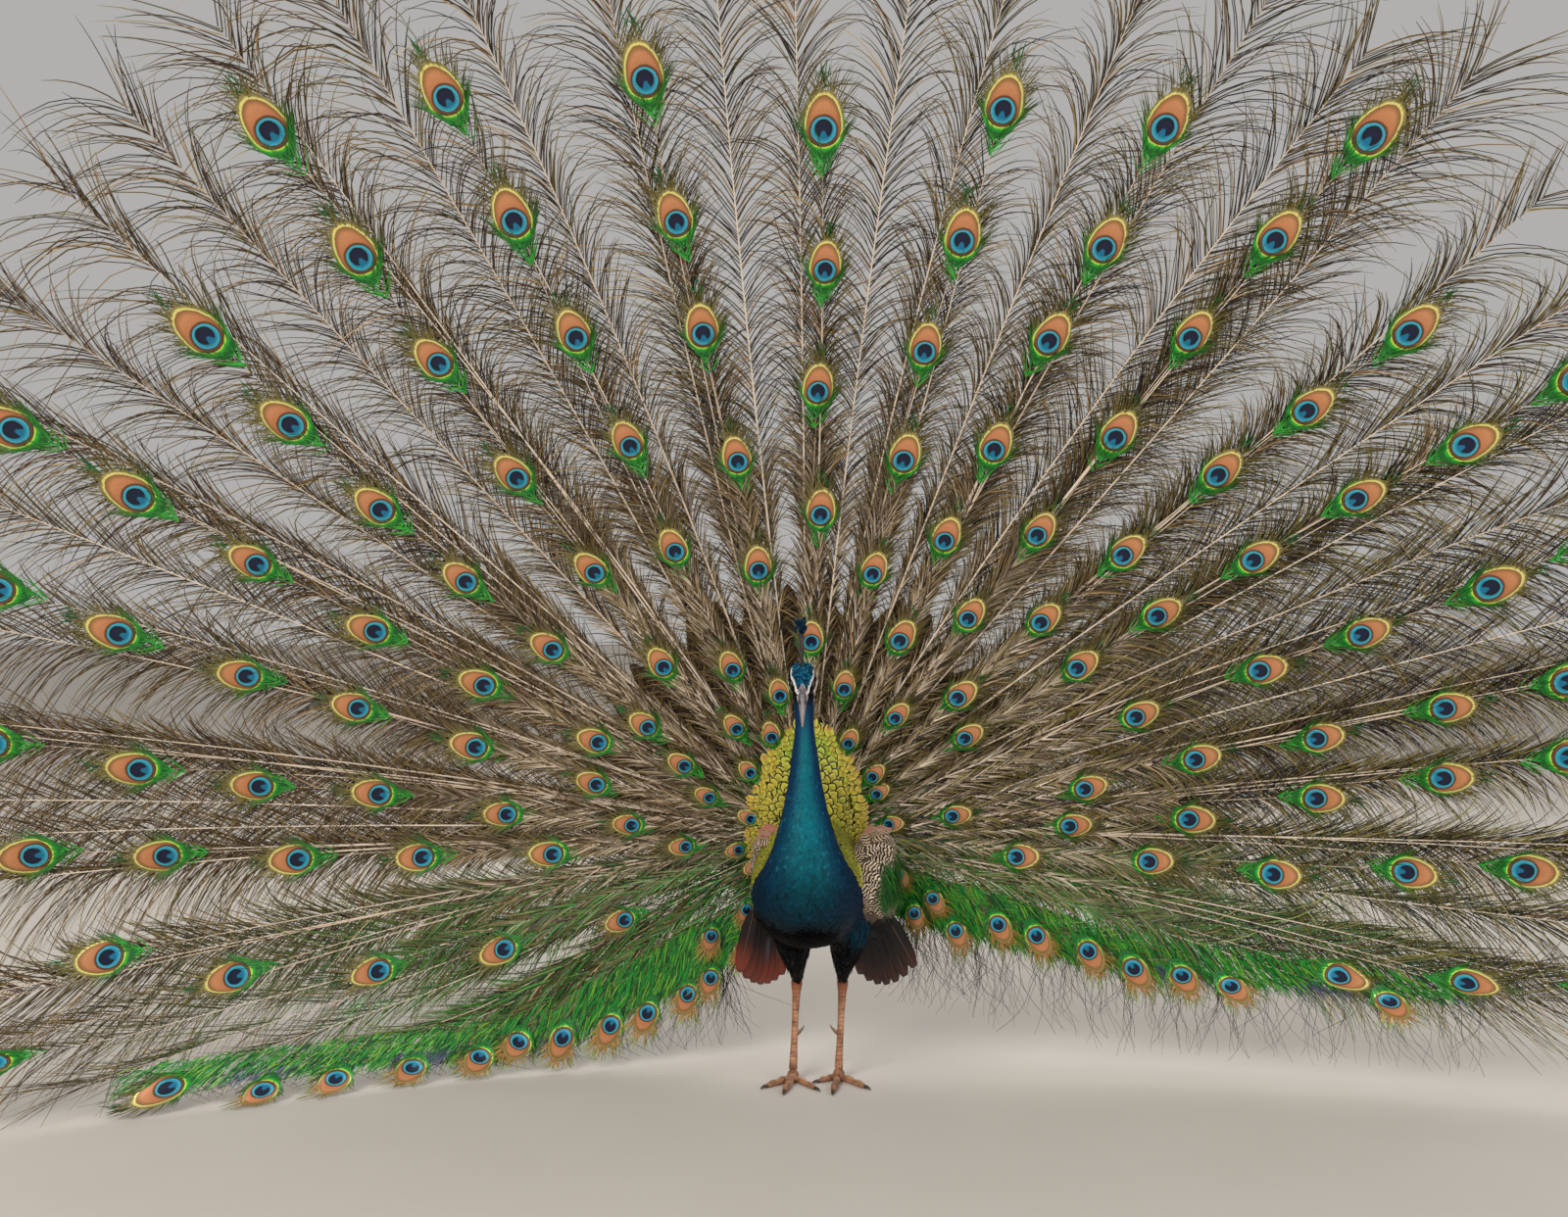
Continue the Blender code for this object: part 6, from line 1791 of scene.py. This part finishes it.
# crest: bare quills with small fans at their tips
NC = 23
ang = np.radians(np.linspace(-31, 47, NC))
length = 0.072 * (1 - 0.12 * np.abs(ang)) * RNG.uniform(0.92, 1.0, NC)
root = head_at(-0.012, 0.0135) + np.stack([RNG.normal(0, 0.0010, NC), np.linspace(-0.003, 0.0045, NC), 0 * ang], -1)
tip = root + np.stack([RNG.normal(0, 0.0030, NC) - 0.001, np.sin(ang) * length, np.cos(ang) * length], -1)
qc = np.linspace(0, 1, 6)
C = root[:, None] + (tip - root)[:, None] * qc[None, :, None]
C[..., 1] += (0.003 * np.sin(qc * np.pi))[None] * np.sign(ang)[:, None]
tn = unit(np.gradient(C, axis=1))
sx = unit(np.cross(tn, np.array([0.0, 1.0, 0.0])) + 1e-6)
sy = np.cross(sx, tn)
rad = np.linspace(0.00042, 0.00028, 6)[None, :, None]
uvr = np.stack([np.linspace(0.2, 0.8, NC), np.full(NC, 0.3)], -1)
cr = [tubes(C, sx * rad, sy * rad, np.broadcast_to(lin(96, 92, 84) * 0.6, (NC, 6, 3)), uvr, 4, 0.02)]
# each fan: seven short barbs
nb = 9
bi = np.repeat(np.arange(NC), nb)
spread = np.tile(np.linspace(-0.62, 0.62, nb), NC) + RNG.normal(0, 0.05, NC * nb)
bl = RNG.uniform(0.0085, 0.0125, NC * nb) * (1 - 0.25 * np.abs(spread))
f0 = unit(tip - root)[bi]
s0 = unit(np.cross(f0, np.array([1.0, 0, 0])))
dirs = unit(f0 * np.cos(spread)[:, None] + s0 * np.sin(spread)[:, None] + np.array([1.0, 0, 0]) * RNG.normal(0, 0.16, len(bi))[:, None])
q4 = np.linspace(0, 1, 4)
C = (tip[bi] - f0 * 0.003)[:, None] + dirs[:, None] * (bl[:, None] * q4[None])[..., None]
sdv = unit(np.cross(dirs, np.array([1.0, 0.3, 0])))[:, None]
hw = (np.array([0.0004, 0.0010, 0.0012, 0.0004]))[None, :, None]
cb = mixc(lin(8, 34, 70), lin(10, 74, 96), RNG.random(len(bi)))[:, None].repeat(4, 1)
cr.append(strips(C - sdv * hw, C + sdv * hw, uvr[bi] + np.array([0, 0.3]), cb, 0.02))
sdv2 = unit(np.cross(dirs, np.cross(dirs, np.array([1.0, 0.3, 0]))))[:, None]
cr.append(strips(C - sdv2 * hw, C + sdv2 * hw, uvr[bi] + np.array([0, 0.5]), cb, 0.02))
m = merge(cr)
CREST = plumage("crest_feathers", rough=0.42, metal=0.2, grain=900.0, vary=0.3, bump=0.0)
ob = build("crest_quills", m[0], m[1], m[2], m[3], material=CREST)
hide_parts("crest")

# ================================================================ the stiff tail behind the train
NT = 20
th = np.linspace(-78, 78, NT) + RNG.uniform(-0.8, 0.8, NT)
TAIL = quill_material("tail_feathers", 0.35, 0.6)
rows_, cols_ = 16, 9
s = np.linspace(0, 1, rows_)
prof = np.interp(s, np.linspace(0, 1, 9), (0.12, 0.35, 0.6, 0.8, 0.92, 1.0, 1.0, 0.86, 0.25))
reach = 0.42 * (1 - 0.10 * (np.abs(th) / 82) ** 2) * RNG.uniform(0.97, 1.0, NT)
x = np.linspace(-1, 1, cols_)
R_ = 0.05 + (reach[:, None, None] - 0.05) * s[None, :, None] + 0 * x
half = 0.036 * prof[None, :, None] * x[None, None]
TH = th[:, None, None] + np.degrees(half / np.maximum(R_, 0.05))
layer = -0.018 + 0.0022 * (np.arange(NT) % 2)[:, None, None] - 0.0016 * np.abs(x)[None, None] ** 2 - 0.010 * s[None, :, None] ** 2 + 0.010
V = fan(TH, R_ - 0.012 * np.abs(x) ** 2 * s[None, :, None], layer - 0.006, dish=(0.02, 0.02))
c = mixc(lin(92, 76, 60), lin(58, 46, 38), RNG.random(NT))[:, None] * np.linspace(0.8, 1.15, rows_)[None, :, None]
uvr = np.stack([(np.arange(NT) % 5) * 0.19 + 0.02, (np.arange(NT) // 5) * 0.24 + 0.02], -1)
m = leaf_mesh(V, uvr, c, patch=0.17)
tail = build("tail_fan", m[0], m[1], m[2], m[3], extra_uv={"VaneUV": m[4]}, material=TAIL)
sol = tail.modifiers.new("thick", "SOLIDIFY")
sol.thickness = 0.0005
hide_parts("tail_1", "tail_2", "tail_3")

# soft covering feathers over the tail's root, behind
n_u = 1250
th = RNG.uniform(-142, 142, n_u)
r0 = 0.02 + 0.10 * RNG.random(n_u) ** 0.7
P = fan(th, r0, -0.024 - 0.018 * (1 - r0 / 0.13), dish=(0.02, 0.02))
F = unit(fan(th, r0 + 0.02, -0.024, dish=(0.02, 0.02)) - fan(th, r0, -0.024, dish=(0.02, 0.02)))
N = np.repeat((TURN @ np.array([0, 1.0, 0]))[None], n_u, 0)
V = vanes(P, N, F, RNG.uniform(0.030, 0.050, n_u), RNG.uniform(0.012, 0.020, n_u), RNG.uniform(0.003, 0.010, n_u), rows=5, cup=0.2, prof=(0.6, 1.0, 0.95, 0.7, 0.2))
c = mixc(lin(60, 50, 42), lin(104, 88, 70), RNG.random(n_u))[:, None] * np.array([0.7, 0.9, 1.0, 1.05, 1.1])[None, :, None]
m = leaf_mesh(V, np.stack([0.5 + 0.45 * th / 142, r0 * 7], -1), c)
build("coat_undertail", m[0], m[1], m[2], m[3], material=DOWN_MAT)


# ================================================================ stage
def stage_light(name, at, target, size, power, colour):
    data = bpy.data.lights.new(name, "AREA")
    data.shape = "RECTANGLE"
    data.size, data.size_y = size
    data.energy = power
    data.color = colour
    ob = bpy.data.objects.new(name, data)
    bpy.context.scene.collection.objects.link(ob)
    ob.location = at
    ob.rotation_euler = (Vector(target) - Vector(at)).to_track_quat("-Z", "Y").to_euler()


bm = bmesh.new()
bmesh.ops.create_grid(bm, x_segments=2, y_segments=2, size=14.0)
me = bpy.data.meshes.new("floor")
bm.to_mesh(me)
bm.free()
floor = bpy.data.objects.new("floor", me)
bpy.context.scene.collection.objects.link(floor)
n = Nodes("floor_pale")
pale = n.mix(n.noise(n.position(), 3.0, 3.0), lin(206, 199, 190), lin(214, 208, 200))
me.materials.append(n.done(pale, 0.85, 0.0, 0.2))

stage_light("key", (-2.2, -3.2, 3.4), (0, 0, 0.75), (2.2, 2.2), 125, (1.0, 0.965, 0.92))
stage_light("fill", (3.0, -2.6, 1.9), (0, 0, 0.7), (2.6, 2.6), 52, (0.93, 0.96, 1.0))
stage_light("back", (0.6, 3.2, 3.0), (0, 0, 0.9), (3.0, 2.0), 62, (1.0, 0.98, 0.95))
world = bpy.data.worlds.new("studio")
world.use_nodes = True
world.node_tree.nodes["Background"].inputs[0].default_value = (0.80, 0.79, 0.77, 1)
world.node_tree.nodes["Background"].inputs[1].default_value = 0.55
bpy.context.scene.world = world

cam_data = bpy.data.cameras.new("camera")
cam_data.sensor_width = 36.0
cam_data.lens = 36.74
cam_data.clip_start = 0.05
cam = bpy.data.objects.new("camera", cam_data)
bpy.context.scene.collection.objects.link(cam)
cam.location = (-0.05, -2.32, 0.797)
cam.rotation_euler = (math.radians(88.5), 0.0, 0.0)
bpy.context.scene.camera = cam
bpy.context.scene.view_settings.view_transform = "Standard"
bpy.context.scene.view_settings.look = "None"
